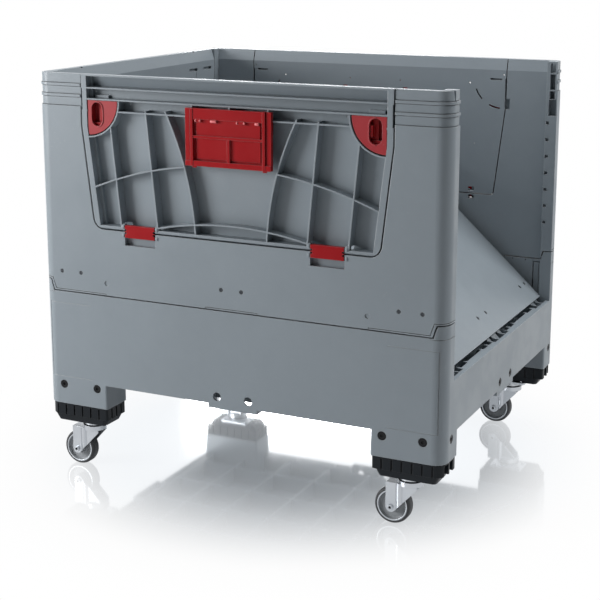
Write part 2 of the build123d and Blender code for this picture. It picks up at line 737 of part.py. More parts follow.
def collar_cut():
    """The step round the outside of the rim, without its two ribs, and the fine lines beside them."""
    foot = HEIGHT - COLLAR_HEIGHT
    cut = outer_ring(COLLAR_DEPTH, (foot, HEIGHT + FREE))
    tops = [HEIGHT - drop for drop in COLLAR_RIB_DROPS]
    cut -= [outer_ring(COLLAR_DEPTH, (top - COLLAR_RIB, top)) for top in tops]
    lows = [foot] + tops + [top - COLLAR_RIB - COLLAR_LINE for top in tops]
    return cut + [outer_ring(COLLAR_DEPTH + COLLAR_LINE, (low, low + COLLAR_LINE)) for low in lows]


def post_pockets():
    """The pockets, keeper and dimples in the jamb of the front right post."""
    cuts = []
    for low, high in POST_POCKETS:
        cuts.append(span(POST_POCKET_X, (-JAMB_Y - POST_POCKET_DEPTH, -JAMB_Y + FREE), (low, high)))
    keeper_z = (LOCK_Z - LOCK_FLANGE_HEIGHT / 2 - 2, LOCK_Z + LOCK_FLANGE_HEIGHT / 2 + 1)
    cuts.append(span(KEEPER_X, (-JAMB_Y - LOCK_KEEPER_DEPTH, -JAMB_Y + FREE), keeper_z))
    for i in range(DIMPLE_COUNT):
        z = DIMPLE_LOW_Z + DIMPLE_PITCH * i
        depth = (-JAMB_Y - DIMPLE_DEPTH, -JAMB_Y + FREE)
        cuts.append(span((INNER_X + 2, INNER_X + 2 + DIMPLE), depth, (z, z + DIMPLE)))
    return cuts


def wall_cells():
    """The hollow cells of the front wall's right half, open below."""
    cell_y = (-HALF_W + SKIN, -INNER_Y - SKIN)
    sill_top = 665.0
    cells = [span((-40, 40), cell_y, (WALL_FOOT_Z - FREE, sill_top))]
    for first, second in ((TONGUE_X[0], TONGUE_X[1]), (TONGUE_X[1], TONGUE_X[2])):
        sides = (first + TONGUE_HALF + SKIN, second - TONGUE_HALF - SKIN)
        cells.append(span(sides, cell_y, (WALL_FOOT_Z - FREE, sill_top)))
    post_z = (WALL_FOOT_Z - FREE, HEIGHT - COLLAR_HEIGHT - SKIN)
    cells.append(span((POST_CELL_X, INNER_X - SKIN), cell_y, post_z))
    return cells


def front_wall():
    """The front wall with its two corner posts and the flap's opening."""
    z = (WALL_FOOT_Z, HEIGHT)
    wall = level_prism(LENGTH, WIDTH, CORNER_R, z) & span((-HALF_L, HALF_L), (-HALF_W, -JAMB_Y), z)
    wall -= span((-INNER_X, INNER_X), (-INNER_Y, 0), (z[0] - FREE, z[1] + FREE))
    points = ((INNER_X - SEAM_GAP, WALL_FOOT_Z - FREE), (INNER_X - SEAM_GAP, WALL_FOOT_Z),
              (INNER_X + TOWER_LEAN - SEAM_GAP, TOWER_Z + SEAM_GAP), (HALF_L + FREE, TOWER_Z + SEAM_GAP),
              (HALF_L + FREE, WALL_FOOT_Z - FREE))
    wall -= both_sides([front_prism(outline(points), (-HALF_W - FREE, 0))])
    rebate = (-HALF_W - FREE, -HALF_W + FLAP_REBATE_DEPTH)
    wall -= front_prism(flap_outline(FLAP_GAP, FLAP_GAP), rebate)
    wall -= front_prism(flap_outline(FLAP_GAP + LEAD_IN, FLAP_GAP), (-HALF_W - FREE, -HALF_W + LEAD_IN))
    wall -= front_prism(flap_outline(FLAP_GAP - FLAP_REBATE, FLAP_GAP), (-HALF_W, 0))
    wall -= collar_cut()
    wall -= lip_cut((-HALF_L, HALF_L))
    wall -= both_sides(wall_cells() + post_pockets())
    tongues = []
    for x in TONGUE_X:
        tongues.append(span((x - TONGUE_HALF, x + TONGUE_HALF), (-INNER_Y - TONGUE_DEPTH, -INNER_Y),
                            (SEAM_Z - TONGUE_DROP, WALL_FOOT_Z + FREE)))
    wall += both_sides(tongues)
    wall -= rod_x(LONG_ROD_R + RUNNING, (-LONG_ROD_HALF, LONG_ROD_HALF), -LONG_ROD_Y, LONG_ROD_Z)
    recess_y = (-HALF_W - FREE, -HALF_W + RECESS_DEPTH)
    recess = span(about(CLIP_X, RECESS_HALF), recess_y, (RECESS_Z, SILL_Z + FREE))
    pin = hinge_pin(CLIP_LOW_Z)
    keeper = span((BOLT_TIP_X - FREE, BOLT_TIP_X + BOLT_TRAVEL + 4), (-BOLT_Y - 8, -BOLT_Y + 6),
                  (BOLT_Z - BOLT_HEIGHT / 2 - 2, BOLT_Z + BOLT_HEIGHT / 2 + 2))
    window_y = (-HALF_W + FLAP_REBATE_DEPTH - FREE, -INNER_Y + FREE)
    window = span(WINDOW_X, window_y, about(BOLT_Z, WINDOW_HALF))
    screws = [front_sink(x) for x in SCREW_LONG_X]
    wall -= seam_lines()
    return wall - both_sides([recess, pin, keeper, window] + screws + peep_holes(PEEP_LOW_Z))


def seam_lines():
    """The marks just above the front seam: a second line in three stretches, and two round gate marks."""
    depth = (-HALF_W - FREE, -HALF_W + SEAM_LINE_DEPTH)
    low = WALL_FOOT_Z + SEAM_LINE_RISE
    high = TOWER_Z + SEAM_GAP + SEAM_LINE_RISE
    notch_z = (WALL_FOOT_Z - FREE, low + SEAM_LINE)
    middle = span(about(0, SEAM_LINE_MIDDLE), depth, (low, low + SEAM_LINE))
    notch = span((SEAM_LINE_MIDDLE - SEAM_NOTCH, SEAM_LINE_MIDDLE), depth, notch_z)
    start, end = SEAM_LINE_END
    cuts = [notch, span((start, end), depth, (low, low + SEAM_LINE))]
    cuts.append(span((start, start + SEAM_NOTCH), depth, notch_z))
    turn = end + TOWER_LEAN
    cuts.append(front_prism(strip((end - 1, low + 1), (turn, high + 1), SEAM_LINE), depth))
    ring = outer_ring(SEAM_LINE_DEPTH, (high, high + SEAM_LINE))
    corner = span((turn - 1, HALF_L + FREE), (-HALF_W - FREE, 0), (high - FREE, high + 2 * SEAM_LINE))
    cuts.append(ring & corner)
    cuts.append(rod_y(GATE_MARK_R, GATE_MARK[0], (-HALF_W - FREE, -HALF_W + GATE_MARK_DEPTH), GATE_MARK[1]))
    return [middle] + both_sides(cuts)


def wall_screw():
    """A small wall screw along +Y, with the front of its head at the origin."""
    head = rod_y(SCREW_HEAD_R, 0, (0, SCREW_HEAD), 0)
    slot = span((-SCREW_HEAD_R, SCREW_HEAD_R), (-FREE, 1.0), (-0.8, 0.8))
    return head + rod_y(SCREW_R, 0, (SCREW_HEAD, SCREW_REACH - FREE), 0) - [slot, Rot(0, 90, 0) * slot]


# Loading flaps

def strip(start, end, thick):
    """A straight rib between two points of x and z, as a face."""
    line = Line(start, end)
    return Pos(*line.position_at(0.5)) * Rot(0, 0, line.tangent_angle_at(0)) * Rectangle(line.length, thick)


def bow(curve, thick):
    """A rib along a curve of x and z, as a face."""
    return make_face(offset(curve, thick / 2).edges())


def ring_face(x, z, radius, thick):
    """A round rib about a centre, as a face."""
    return Pos(x, z) * (Circle(radius + thick / 2) - Circle(radius - thick / 2))


def quarter_face(radius):
    """The quarter disc of the right catch, square at its outer upper corner, as a face."""
    square = Pos(CATCH_X, CATCH_Z) * Rectangle(radius, radius, align=(Align.MAX, Align.MAX))
    return square & (Pos(CATCH_X, CATCH_Z) * Circle(radius))


def space_face(inset):
    """The space inside the flap's frame, less a margin, as a face."""
    head = FLAP_TOP_HALF - FLAP_SIDE - inset
    foot = FLAP_FOOT_HALF - FLAP_SIDE - inset
    low = FLAP_FOOT_Z + FLAP_FOOT
    points = ((-head, HEIGHT), (-head, FLAP_TAPER_Z), (-foot, low),
              (foot, low), (head, FLAP_TAPER_Z), (head, HEIGHT))
    return outline(points)


def flap_space():
    """The space in front of the flap's skin that its ribs divide."""
    across = front_prism(space_face(0), (-HALF_W - FREE, -FLAP_STEP_Y))
    across += front_prism(space_face(FLAP_STEP), (-HALF_W, -INNER_Y))
    low = FLAP_FOOT_Z + FLAP_FOOT
    back = -INNER_Y - FLAP_SKIN
    top = HEIGHT - FLAP_HEAD
    profile = ((-HALF_W - FREE, low), (back, low), (back, HEIGHT - LIP_HEIGHT), (back - LIP_DEPTH, top),
               (-HALF_W - FREE, top))
    return across & side_prism(profile, (-HALF_L, HALF_L))


def flap_ribs():
    """Every rib of the flap, still without its ends trimmed, and the catch pockets' rims."""
    depth = (-HALF_W, -INNER_Y)
    rails = [span(about(0, HALF_L), depth, about(z, FLAP_RIB / 2)) for z in RAIL_Z]
    lines = [front_prism(strip(start, end, FLAP_RIB), depth) for start, end in RIB_LINES]
    lines.append(front_prism(bow(ThreePointArc(*ARC_RIB), FLAP_RIB), depth))
    beside = outline((*ARC_RIB, (HALF_L, RIB_FOOT_Z), (HALF_L, HEIGHT)))
    upper = front_prism(ring_face(0, UPPER_ARC_Z, UPPER_ARC_R, FLAP_RIB) & beside, depth)
    within = Pos(0, SILL_Z) * Rectangle(2 * RIB_LINES[0][1][0], 100)
    lower = front_prism(ring_face(0, LOWER_ARC_Z, LOWER_ARC_R, FLAP_RIB) & within, depth)
    short_z = (RAIL_Z[2], RAIL_Z[1])
    short = [span(about(x, FLAP_RIB / 2), depth, short_z) for x in (-LABEL_RIB_X, 0, LABEL_RIB_X)]
    ribs = rails + both_sides(lines + [upper]) + [lower] + short
    pocket = front_prism(quarter_face(CATCH_RIM), (-HALF_W - FREE, -INNER_Y))
    rim = front_prism(quarter_face(CATCH_RIM + FLAP_RIB) - quarter_face(CATCH_RIM), depth)
    joined = ribs[0] + ribs[1:]
    return joined - both_sides([pocket]) + both_sides([rim])


def hook_boss():
    """The boss that closes the right catch's upper slot from outside."""
    x, z, width, height = HOOK_TOP
    back = -INNER_Y - FLAP_SKIN
    return span(about(x, width / 2 + 3), (back - HOOK_BOSS, back + FREE), about(z, height / 2 + 3.5))


def hook_slots():
    """The slots behind the right catch, in the flap's inner face: a blind one and two through the skin."""
    x, z, width, height = HOOK_TOP
    back = -INNER_Y - FLAP_SKIN
    slots = [span(about(x, width / 2), (back - HOOK_BOSS + 2.5, -INNER_Y + FREE), about(z, height / 2))]
    for angle in HOOK_ARC_ANGLES:
        arc = CenterArc((HOOK_X, HOOK_Z), HOOK_ARC_R, angle - HOOK_ARC_SPAN / 2, HOOK_ARC_SPAN)
        slots.append(front_prism(bow(arc, HOOK), (back - FREE, -INNER_Y + FREE)))
    return slots


def flap():
    """The front flap: a smooth inner skin with a frame and ribs outside."""
    top = span(about(0, HALF_L), (-HALF_W - FREE, 0), (0, HEIGHT))
    body = front_prism(flap_outline(0, 0), (-HALF_W, -HALF_W + FLAP_REBATE_DEPTH))
    body += front_prism(flap_outline(-FLAP_REBATE, 0), (-HALF_W + FLAP_REBATE_DEPTH, -INNER_Y))
    body = body & top
    space = flap_space()
    body = body - space + (flap_ribs() & space)
    body -= lip_cut((-HALF_L, HALF_L))
    edge = ((-HALF_W - FREE, FLAP_FOOT_Z - FREE), (-HALF_W + FLAP_EDGE + FREE, FLAP_FOOT_Z - FREE),
            (-HALF_W - FREE, FLAP_FOOT_Z + FLAP_EDGE + FREE))
    body -= side_prism(edge, (-HALF_L, HALF_L))
    recess_y = (-HALF_W - FREE, -HALF_W + RECESS_DEPTH)
    recess = span(about(CLIP_X, RECESS_HALF), recess_y, (FLAP_FOOT_Z - FREE, RECESS_TOP_Z))
    lugs = []
    for side in (-1, 1):
        inner = CLIP_X + side * RECESS_HALF
        outer = inner + side * LUG
        lugs.append(span((min(inner, outer), max(inner, outer)), (-HALF_W + 1.5, -INNER_Y - FREE),
                         (FLAP_FOOT_Z + FLAP_EDGE, CLIP_HIGH_Z + 8)))
    body += both_sides(lugs + [hook_boss()])
    pin = hinge_pin(CLIP_HIGH_Z)
    bolt = span((CATCH_X - 12, FLAP_TOP_HALF + FREE), about(-BOLT_Y, BOLT_THICK / 2 + BOLT_PLAY),
                about(BOLT_Z, BOLT_HEIGHT / 2 + BOLT_PLAY))
    skin = (-INNER_Y - FLAP_SKIN - FREE, -INNER_Y + FREE)
    leg_hole = span(about(LABEL_LEG_X, LABEL_LEG_WIDTH / 2 + FREE), skin,
                    about(LABEL_LEG_Z, LABEL_LEG_HEIGHT / 2 + FREE))
    cuts = [recess, pin, bolt, leg_hole] + hook_slots() + peep_holes(PEEP_HIGH_Z) + seam_slots()
    vents = [rod_y(radius, x, skin, z) for x, z, radius in VENTS]
    return body - both_sides(cuts + vents)


def seam_slots():
    """The stretches beside the right catch where the flap's edge stands back."""
    inner = FLAP_TOP_HALF - FLAP_REBATE
    outer_y = (-HALF_W - FREE, -HALF_W + FLAP_REBATE_DEPTH - FREE)
    inner_y = (-HALF_W + FLAP_REBATE_DEPTH - FREE, -INNER_Y + FREE)
    outside = span((FLAP_TOP_HALF - SLOT, FLAP_TOP_HALF + FREE), outer_y, SLOT_OUTER_Z)
    inside = span((inner - SLOT, inner + FREE), inner_y, SLOT_INNER_Z)
    return [outside, inside]


def hinge_clip():
    """The right hinge clip of the front flap, with an eye for each of its two pins."""
    x = about(CLIP_X, CLIP_HALF)
    levels = (CLIP_LOW_Z, CLIP_HIGH_Z)
    clip = rod_x(CLIP_BARREL_R, x, -CLIP_PIN_Y, CLIP_LOW_Z)
    clip += rod_x(CLIP_BARREL_R, x, -CLIP_PIN_Y, CLIP_HIGH_Z)
    clip += span(x, (-CLIP_FACE_Y, -CLIP_FACE_Y + CLIP_SHEET), (CLIP_LOW_Z - 5, CLIP_HIGH_Z + 5))
    clip += span(x, (-CLIP_FACE_Y, -CLIP_PIN_Y + 3), (CLIP_LOW_Z, CLIP_LOW_Z + 6))
    clip += span(x, (-CLIP_FACE_Y, -CLIP_PIN_Y + 3), (CLIP_HIGH_Z - 6, CLIP_HIGH_Z))
    depth = (-CLIP_FACE_Y - FREE, -CLIP_PIN_Y + 9)
    for z in (CLIP_LOW_Z + 8, CLIP_HIGH_Z - 8):
        clip -= [span(about(end, CLIP_NOTCH), depth, about(z, 2.5)) for end in x]
    through = about(CLIP_X, CLIP_HALF + FREE)
    return clip - [rod_x(CLIP_PIN_R + RUNNING, through, -CLIP_PIN_Y, z) for z in levels]


def peep_holes(z):
    """The two holes behind the right hinge clip's ends, through to the inner face, at a level."""
    depth = (-HALF_W + RECESS_DEPTH - FREE, -INNER_Y + FREE)
    return [span(about(CLIP_X + x, PEEP_WIDTH / 2), depth, about(z, PEEP_HEIGHT / 2)) for x in PEEP]


def hinge_pin(z):
    """One pin of the right hinge clip, at its level."""
    return rod_x(CLIP_PIN_R, about(CLIP_X, RECESS_HALF + LUG), -CLIP_PIN_Y, z)


def finger_hole(grow, depth):
    """The oval finger hole of the right catch, grown by a margin."""
    oval = SlotOverall(FINGER_HEIGHT + 2 * grow, FINGER_WIDTH + 2 * grow)
    return front_prism(Pos(FINGER_X, FINGER_Z) * Rot(0, 0, 90) * oval, depth)


def catch_cover():
    """The right catch cover of the front flap."""
    back = -INNER_Y - FLAP_SKIN
    face = quarter_face(CATCH_R) & space_face(FREE)
    root = quarter_face(CATCH_R) & space_face(FLAP_STEP + FREE)
    cover = front_prism(face, (-CATCH_FACE_Y, -FLAP_STEP_Y - 0.5)) + front_prism(root, (-CATCH_FACE_Y, back))
    cover -= front_prism(offset(root, -CATCH_WALL), (-CATCH_FACE_Y + CATCH_SHEET, back))
    sheet = Pos(CATCH_X, FINGER_Z) * Rectangle(2 * (CATCH_X - BOLT_PLATE_X[1] + 3), FINGER_HEIGHT + 8)
    cover += front_prism(root & sheet, (back - 3, back))
    collar = finger_hole(3.0, (-CATCH_FACE_Y - 1.8, -CATCH_FACE_Y + FINGER_COLLAR))
    cover += collar & span((0, FINGER_X), (-HALF_W - FREE, 0), (0, HEIGHT))
    cover -= finger_hole(0, (-HALF_W - FREE, -CATCH_FACE_Y + FINGER_COLLAR + FREE))
    way = span((CATCH_X - 12, CATCH_X + FREE), (-BOLT_Y - BOLT_THICK / 2 - BOLT_PLAY, back + FREE),
               about(BOLT_Z, BOLT_HEIGHT / 2 + BOLT_PLAY))
    return cover - way


def catch_bolt():
    """The sliding bolt behind the right catch cover, drawn back, with its finger tab and plate."""
    bar = span((BOLT_TAIL_X, BOLT_TIP_X), about(-BOLT_Y, BOLT_THICK / 2), about(BOLT_Z, BOLT_HEIGHT / 2))
    bar = chamfer(bar.edges().filter_by(Axis.Z).sort_by(Axis.X)[-2:], 3)
    tab_x = FINGER_X - FINGER_WIDTH / 2 + 1.5
    back = -BOLT_Y + BOLT_THICK / 2
    tab = span((tab_x, tab_x + BOLT_TAB), (-CATCH_FACE_Y + 2, back), about(FINGER_Z, BOLT_TAB_HALF))
    plate = span(BOLT_PLATE_X, (back - BOLT_PLATE, back), (BOLT_Z, FINGER_Z + FINGER_HEIGHT / 2 - 1))
    return bar + tab + plate


def label_holder():
    """The label holder on the front flap: stepped posts, a header with lugs and three sunk fields."""
    back = -LABEL_BACK_Y
    face = back - LABEL_DEPTH
    root = back - FREE
    z = (LABEL_LOW_Z, LABEL_HIGH_Z)
    header_z = LABEL_HIGH_Z - LABEL_HEADER
    lug_z = header_z - LABEL_LUG
    rail_z = LABEL_LOW_Z + LABEL_FOOT
    inner, middle, outer = LABEL_POST
    holder = span(about(0, LABEL_HALF), (back - LABEL_SHEET, back), z)
    pieces = [span(about(0, LABEL_FIELD_HALF), (face + 7.5, root), (rail_z + 5, LABEL_BAR[0]))]
    pieces.append(span(about(0, LABEL_FIELD_HALF), (face + 5.5, root), (LABEL_BAR[1], header_z + FREE)))
    pieces.append(span(about(0, inner), (face + 1.5, root), (header_z, LABEL_HIGH_Z)))
    pieces.append(span(about(0, inner), (face + 1.5, root), LABEL_BAR))
    pieces.append(span(about(2.5, 4.0), (face + 2, root), (rail_z - FREE, LABEL_BAR[0] + FREE)))
    pieces.append(span(about(0, LABEL_HALF), (face + 1, root), (LABEL_LOW_Z, rail_z)))
    pieces += [span(about(x, half), (face, root), (lug_z, header_z + FREE)) for x, half in LABEL_LUGS]
    leg = span(about(LABEL_LEG_X, LABEL_LEG_WIDTH / 2), (root, -INNER_Y - 3),
               about(LABEL_LEG_Z, LABEL_LEG_HEIGHT / 2))
    foot = span(about(LABEL_LEG_X, 6), (back - LABEL_SHEET, back), (LABEL_LOW_Z - 6, LABEL_LOW_Z + 2))
    sides = [span((inner, middle), (face, root), z), span((middle, outer), (face + 7, root), z)]
    sides += [span((outer, LABEL_HALF), (face + 4, root), z), leg, foot]
    return holder + pieces + both_sides(sides)


# Short walls, drawn upright on the right

def short_cells():
    """The hollow cells of the right short wall, open below."""
    cells = []
    x = (INNER_X + SKIN, SHORT_OUTER_X - SKIN)
    rows = [(SHORT_CELL_PITCH * (i + 0.5),) for i in range(SHORT_CELLS)]
    for (y,) in mirrored(rows):
        outermost = abs(y) > SHORT_HALF - LOCK_LENGTH - 60
        top = LOCK_Z - 60 if outermost else HEIGHT - COLLAR_HEIGHT - SKIN
        cells.append(span(x, about(y, SHORT_CELL_PITCH / 2 - SKIN / 2), (SHORT_FOOT_Z + SKIN, top)))
        mouth = y - 3 if y > 0 else y + 3
        cells.append(span(x, about(mouth, 5), (SHORT_FOOT_Z - FREE, SHORT_FOOT_Z + SKIN + FREE)))
    return cells


def lock_room():
    """The pocket of the right wall's front lock, open at the wall's end."""
    tail = -SHORT_HALF + LOCK_LENGTH + 8
    deep = span((LOCK_FLANGE[0] - 1, LOCK_FLANGE[1] + 0.6), (-SHORT_HALF - FREE, tail),
                (LOCK_Z - LOCK_FLANGE_HEIGHT / 2 - 0.6, LOCK_Z + LOCK_FLANGE_HEIGHT / 2 + 0.6))
    thumb_middle = -SHORT_HALF + LOCK_LENGTH / 2 + 4
    reach = LOCK_THUMB_LENGTH / 2 + 1
    mouth_y = (thumb_middle - reach - LOCK_TRAVEL, thumb_middle + reach)
    mouth_x = (LOCK_FLANGE[1] - FREE, SHORT_OUTER_X + FREE)
    mouth = span(mouth_x, mouth_y, about(LOCK_Z, LOCK_THUMB_HEIGHT / 2 + 1))
    return [deep, mouth]


def lock_slide():
    """The front lock of the right wall, drawn back into the wall."""
    tip = -SHORT_HALF + 1.5
    flange = span(LOCK_FLANGE, (tip, tip + LOCK_LENGTH),
                  (LOCK_Z - LOCK_FLANGE_HEIGHT / 2, LOCK_Z + LOCK_FLANGE_HEIGHT / 2))
    middle = -SHORT_HALF + LOCK_LENGTH / 2 + 4
    half = LOCK_THUMB_LENGTH / 2
    thumb = span((LOCK_FLANGE[1] - FREE, SHORT_OUTER_X - FREE), (middle - half, middle + half),
                 (LOCK_Z - LOCK_THUMB_HEIGHT / 2, LOCK_Z + LOCK_THUMB_HEIGHT / 2))
    dish = span((LOCK_FLANGE[1] + 1, SHORT_OUTER_X), (middle - half + 8, middle + half - 8),
                (LOCK_Z - LOCK_THUMB_HEIGHT / 2 + 6, LOCK_Z + LOCK_THUMB_HEIGHT / 2 - 6))
    grip_x = (LOCK_FLANGE[1], SHORT_OUTER_X - 2.5)
    grip_z = about(LOCK_Z, LOCK_THUMB_HEIGHT / 2 - 5)
    grips = [span(grip_x, about(middle + 10 * i, 1.5), grip_z) for i in (-1, 0, 1)]
    return flange + thumb - dish + grips


def short_marks():
    """The slots, grooves and notches at the front upper corner of the right wall's inner face."""
    groove_y = -317.0
    groove_z = (HEIGHT - 101, HEIGHT - LIP_HEIGHT - 22)
    groove = span((INNER_X - FREE, INNER_X + 1.5), about(groove_y, 1), groove_z)
    notch_x = (INNER_X + LIP_DEPTH - FREE, INNER_X + LIP_DEPTH + 5)
    notch = span(notch_x, about(groove_y, 6), (HEIGHT - 4, HEIGHT + FREE))
    slot_z = (HEIGHT - 63, HEIGHT - 54)
    slots = [span((INNER_X - FREE, INNER_X + 9), about(y, 26), slot_z) for y in (-297.0, -388.0)]
    return [groove, notch] + slots


def short_screw_places():
    """The middles of the right wall's screws along y."""
    return [side * y for y in SCREW_SHORT_Y for side in (-1, 1)]


def short_wall():
    """The right short wall, upright."""
    z = (SHORT_FOOT_Z, HEIGHT)
    wall = span((INNER_X, SHORT_OUTER_X), (-SHORT_HALF, SHORT_HALF), z)
    foot = HEIGHT - COLLAR_HEIGHT
    step_x = (SHORT_OUTER_X - COLLAR_DEPTH, SHORT_OUTER_X + FREE)
    step = span(step_x, about(0, SHORT_HALF + FREE), (foot, HEIGHT + FREE))
    for drop in COLLAR_RIB_DROPS:
        step -= span((0, HALF_L), (-SHORT_HALF, SHORT_HALF), (HEIGHT - drop - COLLAR_RIB, HEIGHT - drop))
    wall -= step
    lip_z = HEIGHT - LIP_HEIGHT
    lip = ((INNER_X - FREE, lip_z), (INNER_X, lip_z), (INNER_X + LIP_DEPTH, HEIGHT),
           (INNER_X + LIP_DEPTH, HEIGHT + FREE), (INNER_X - FREE, HEIGHT + FREE))
    wall -= front_prism(outline(lip), (-SHORT_HALF - FREE, SHORT_HALF + FREE))
    wall -= short_cells()
    corner = lock_room() + short_marks()
    wall -= corner + [mirror(cut, Plane.XZ) for cut in corner]
    knuckles = []
    for y, half in mirrored(KNUCKLES):
        sides = about(y, half)
        web_x = (SHORT_HINGE_X - 7, SHORT_HINGE_X + KNUCKLE_R)
        knuckles.append(rod_y(KNUCKLE_R, SHORT_HINGE_X, sides, SHORT_HINGE_Z))
        knuckles.append(span(web_x, sides, (SHORT_HINGE_Z, SHORT_FOOT_Z + FREE)))
    wall += knuckles
    wall -= rod_y(SHORT_ROD_R + RUNNING, SHORT_HINGE_X, (-SHORT_HALF, SHORT_HALF), SHORT_HINGE_Z)
    return wall - [side_sink(y) for y in short_screw_places()]


def short_screws():
    """The screws of the right wall, upright."""
    turned = Rot(0, 0, 90) * wall_screw()
    return [Pos(SHORT_OUTER_X - 0.5, y, SHORT_FOOT_Z + SCREW_RISE) * turned for y in short_screw_places()]


def fold(piece):
    """A piece of the right wall as it stands at rest, folded partway in."""
    axis = Axis((SHORT_HINGE_X, 0, SHORT_HINGE_Z), (0, -1, 0))
    return piece.rotate(axis, RIGHT_WALL_FOLD)


def save(name, *pieces):
    """Writes one node."""
    shape = pieces[0] if len(pieces) == 1 else Compound(children=list(pieces))
    export_step(shape, os.path.join("parts", name + ".step"))


os.makedirs("parts", exist_ok=True)

save("base_tray", base_tray())

cap = foot_cap()
save("foot_cap_front_right", cap)
save("foot_cap_front_left", left(cap))
save("foot_cap_rear_left", rear(cap))
save("foot_cap_rear_right", rear(left(cap)))
save("foot_screws", *all_round(cap_screws()))

plate = castor_plate()
fork = castor_fork()
axle = castor_axle()
core = wheel_core()
tyre = wheel_tyre()
bolts = castor_bolts()
CORNERS = {"front_left": (-1, -1), "front_right": (1, -1), "rear_left": (-1, 1), "rear_right": (1, 1)}
placed_bolts = []
for corner, (x_side, y_side) in CORNERS.items():
    place = Pos(x_side * CASTOR_X, y_side * CASTOR_Y, 0)
    save("castor_plate_" + corner, place * plate)
    save("castor_fork_" + corner, place * fork)
    save("castor_axle_" + corner, place * axle)
    save("wheel_core_" + corner, place * core)
    save("wheel_tyre_" + corner, place * tyre)
    placed_bolts += [place * bolt for bolt in bolts]
save("castor_bolts", *placed_bolts)

wall = front_wall()
save("front_wall", wall)
save("rear_wall", rear(wall))
long_rod = rod_x(LONG_ROD_R, (-LONG_ROD_HALF, LONG_ROD_HALF), -LONG_ROD_Y, LONG_ROD_Z)
save("long_wall_hinge_rods", long_rod, rear(long_rod))
front_screws = [Pos(x, -HALF_W + 0.5, SCREW_Z) * wall_screw() for x in SCREW_LONG_X]
save("long_wall_screws", *all_round(front_screws))

door = flap()
holder = label_holder()
clip = hinge_clip()
cover = catch_cover()
bolt = catch_bolt()
save("front_flap", door)
save("rear_flap", rear(door))
save("front_label_holder", holder)
save("rear_label_holder", rear(holder))
for name, piece in (("hinge_clip", clip), ("catch_cover", cover), ("catch_bolt", bolt)):
    save("front_" + name + "_right", piece)
    save("front_" + name + "_left", left(piece))
    save("rear_" + name + "_left", rear(piece))
    save("rear_" + name + "_right", rear(left(piece)))
flap_pins = both_sides([hinge_pin(CLIP_HIGH_Z)])
save("front_flap_pins", *flap_pins)
save("rear_flap_pins", *[rear(pin) for pin in flap_pins])
save("flap_sill_pins", *all_round([hinge_pin(CLIP_LOW_Z)]))

short = short_wall()
screws = short_screws()
slide = lock_slide()
far_slide = mirror(slide, Plane.XZ)
short_rod = rod_y(SHORT_ROD_R, SHORT_HINGE_X, (-SHORT_ROD_HALF, SHORT_ROD_HALF), SHORT_HINGE_Z)
save("short_wall_hinge_rods", short_rod, left(short_rod))
save("right_wall", fold(short))
save("right_wall_screws", *[fold(screw) for screw in screws])
save("right_wall_lock_front", fold(slide))
save("right_wall_lock_rear", fold(far_slide))
save("left_wall", left(short))
save("left_wall_screws", *[left(screw) for screw in screws])
save("left_wall_lock_front", left(slide))
save("left_wall_lock_rear", left(far_slide))
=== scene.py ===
"""Folding bulk container on castors: finishes, small fittings, studio light and camera."""

import logging
import math
from dataclasses import dataclass
from enum import Enum

import bmesh
import bpy
from mathutils import Matrix, Vector


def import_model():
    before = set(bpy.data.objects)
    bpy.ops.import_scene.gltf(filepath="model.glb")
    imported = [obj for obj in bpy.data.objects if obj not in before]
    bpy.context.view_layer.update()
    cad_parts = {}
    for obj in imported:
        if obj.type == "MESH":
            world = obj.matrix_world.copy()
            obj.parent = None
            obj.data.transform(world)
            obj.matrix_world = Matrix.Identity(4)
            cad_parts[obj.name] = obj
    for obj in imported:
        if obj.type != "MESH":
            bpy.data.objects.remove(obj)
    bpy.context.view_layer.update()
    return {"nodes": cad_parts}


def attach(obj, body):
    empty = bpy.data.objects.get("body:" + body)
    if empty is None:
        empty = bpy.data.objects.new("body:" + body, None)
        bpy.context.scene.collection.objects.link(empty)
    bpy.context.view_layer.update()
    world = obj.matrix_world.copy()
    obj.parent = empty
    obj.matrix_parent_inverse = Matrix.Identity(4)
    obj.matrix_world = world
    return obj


LOG = logging.getLogger("bulk_container")
MM = 0.001
FULL_TURN = 2 * math.pi
QUARTER_TURN = math.pi / 2

Colour = tuple[float, float, float, float]
Point = tuple[float, float, float]
Span = tuple[float, float]
Sockets = tuple[tuple[str, str], ...]

WHITE: Colour = (1.0, 1.0, 1.0, 1.0)
WHOLE: Span = (0.0, 1.0)


def colour_of(red: int, green: int, blue: int) -> Colour:
    """Turns a display colour of 0 to 255 into a linear one.

    Args:
        red: The red part as shown on a display.
        green: The green part.
        blue: The blue part.

    Returns:
        The linear colour with a full alpha.
    """

    def linear(part: int) -> float:
        """The linear value of one part, by the usual display curve."""
        value = part / 255
        return value / 12.92 if value <= 0.04045 else ((value + 0.055) / 1.055) ** 2.4

    return linear(red), linear(green), linear(blue), 1.0


def scaled(colour: Colour, factor: float) -> Colour:
    """Makes a colour darker or lighter, up to full strength."""
    return tuple(min(1.0, part * factor) for part in colour[:3]) + (1.0,)


def paled(colour: Colour, amount: float) -> Colour:
    """Moves a colour towards white."""
    return tuple(part + (1 - part) * amount for part in colour[:3]) + (1.0,)


# Shader work


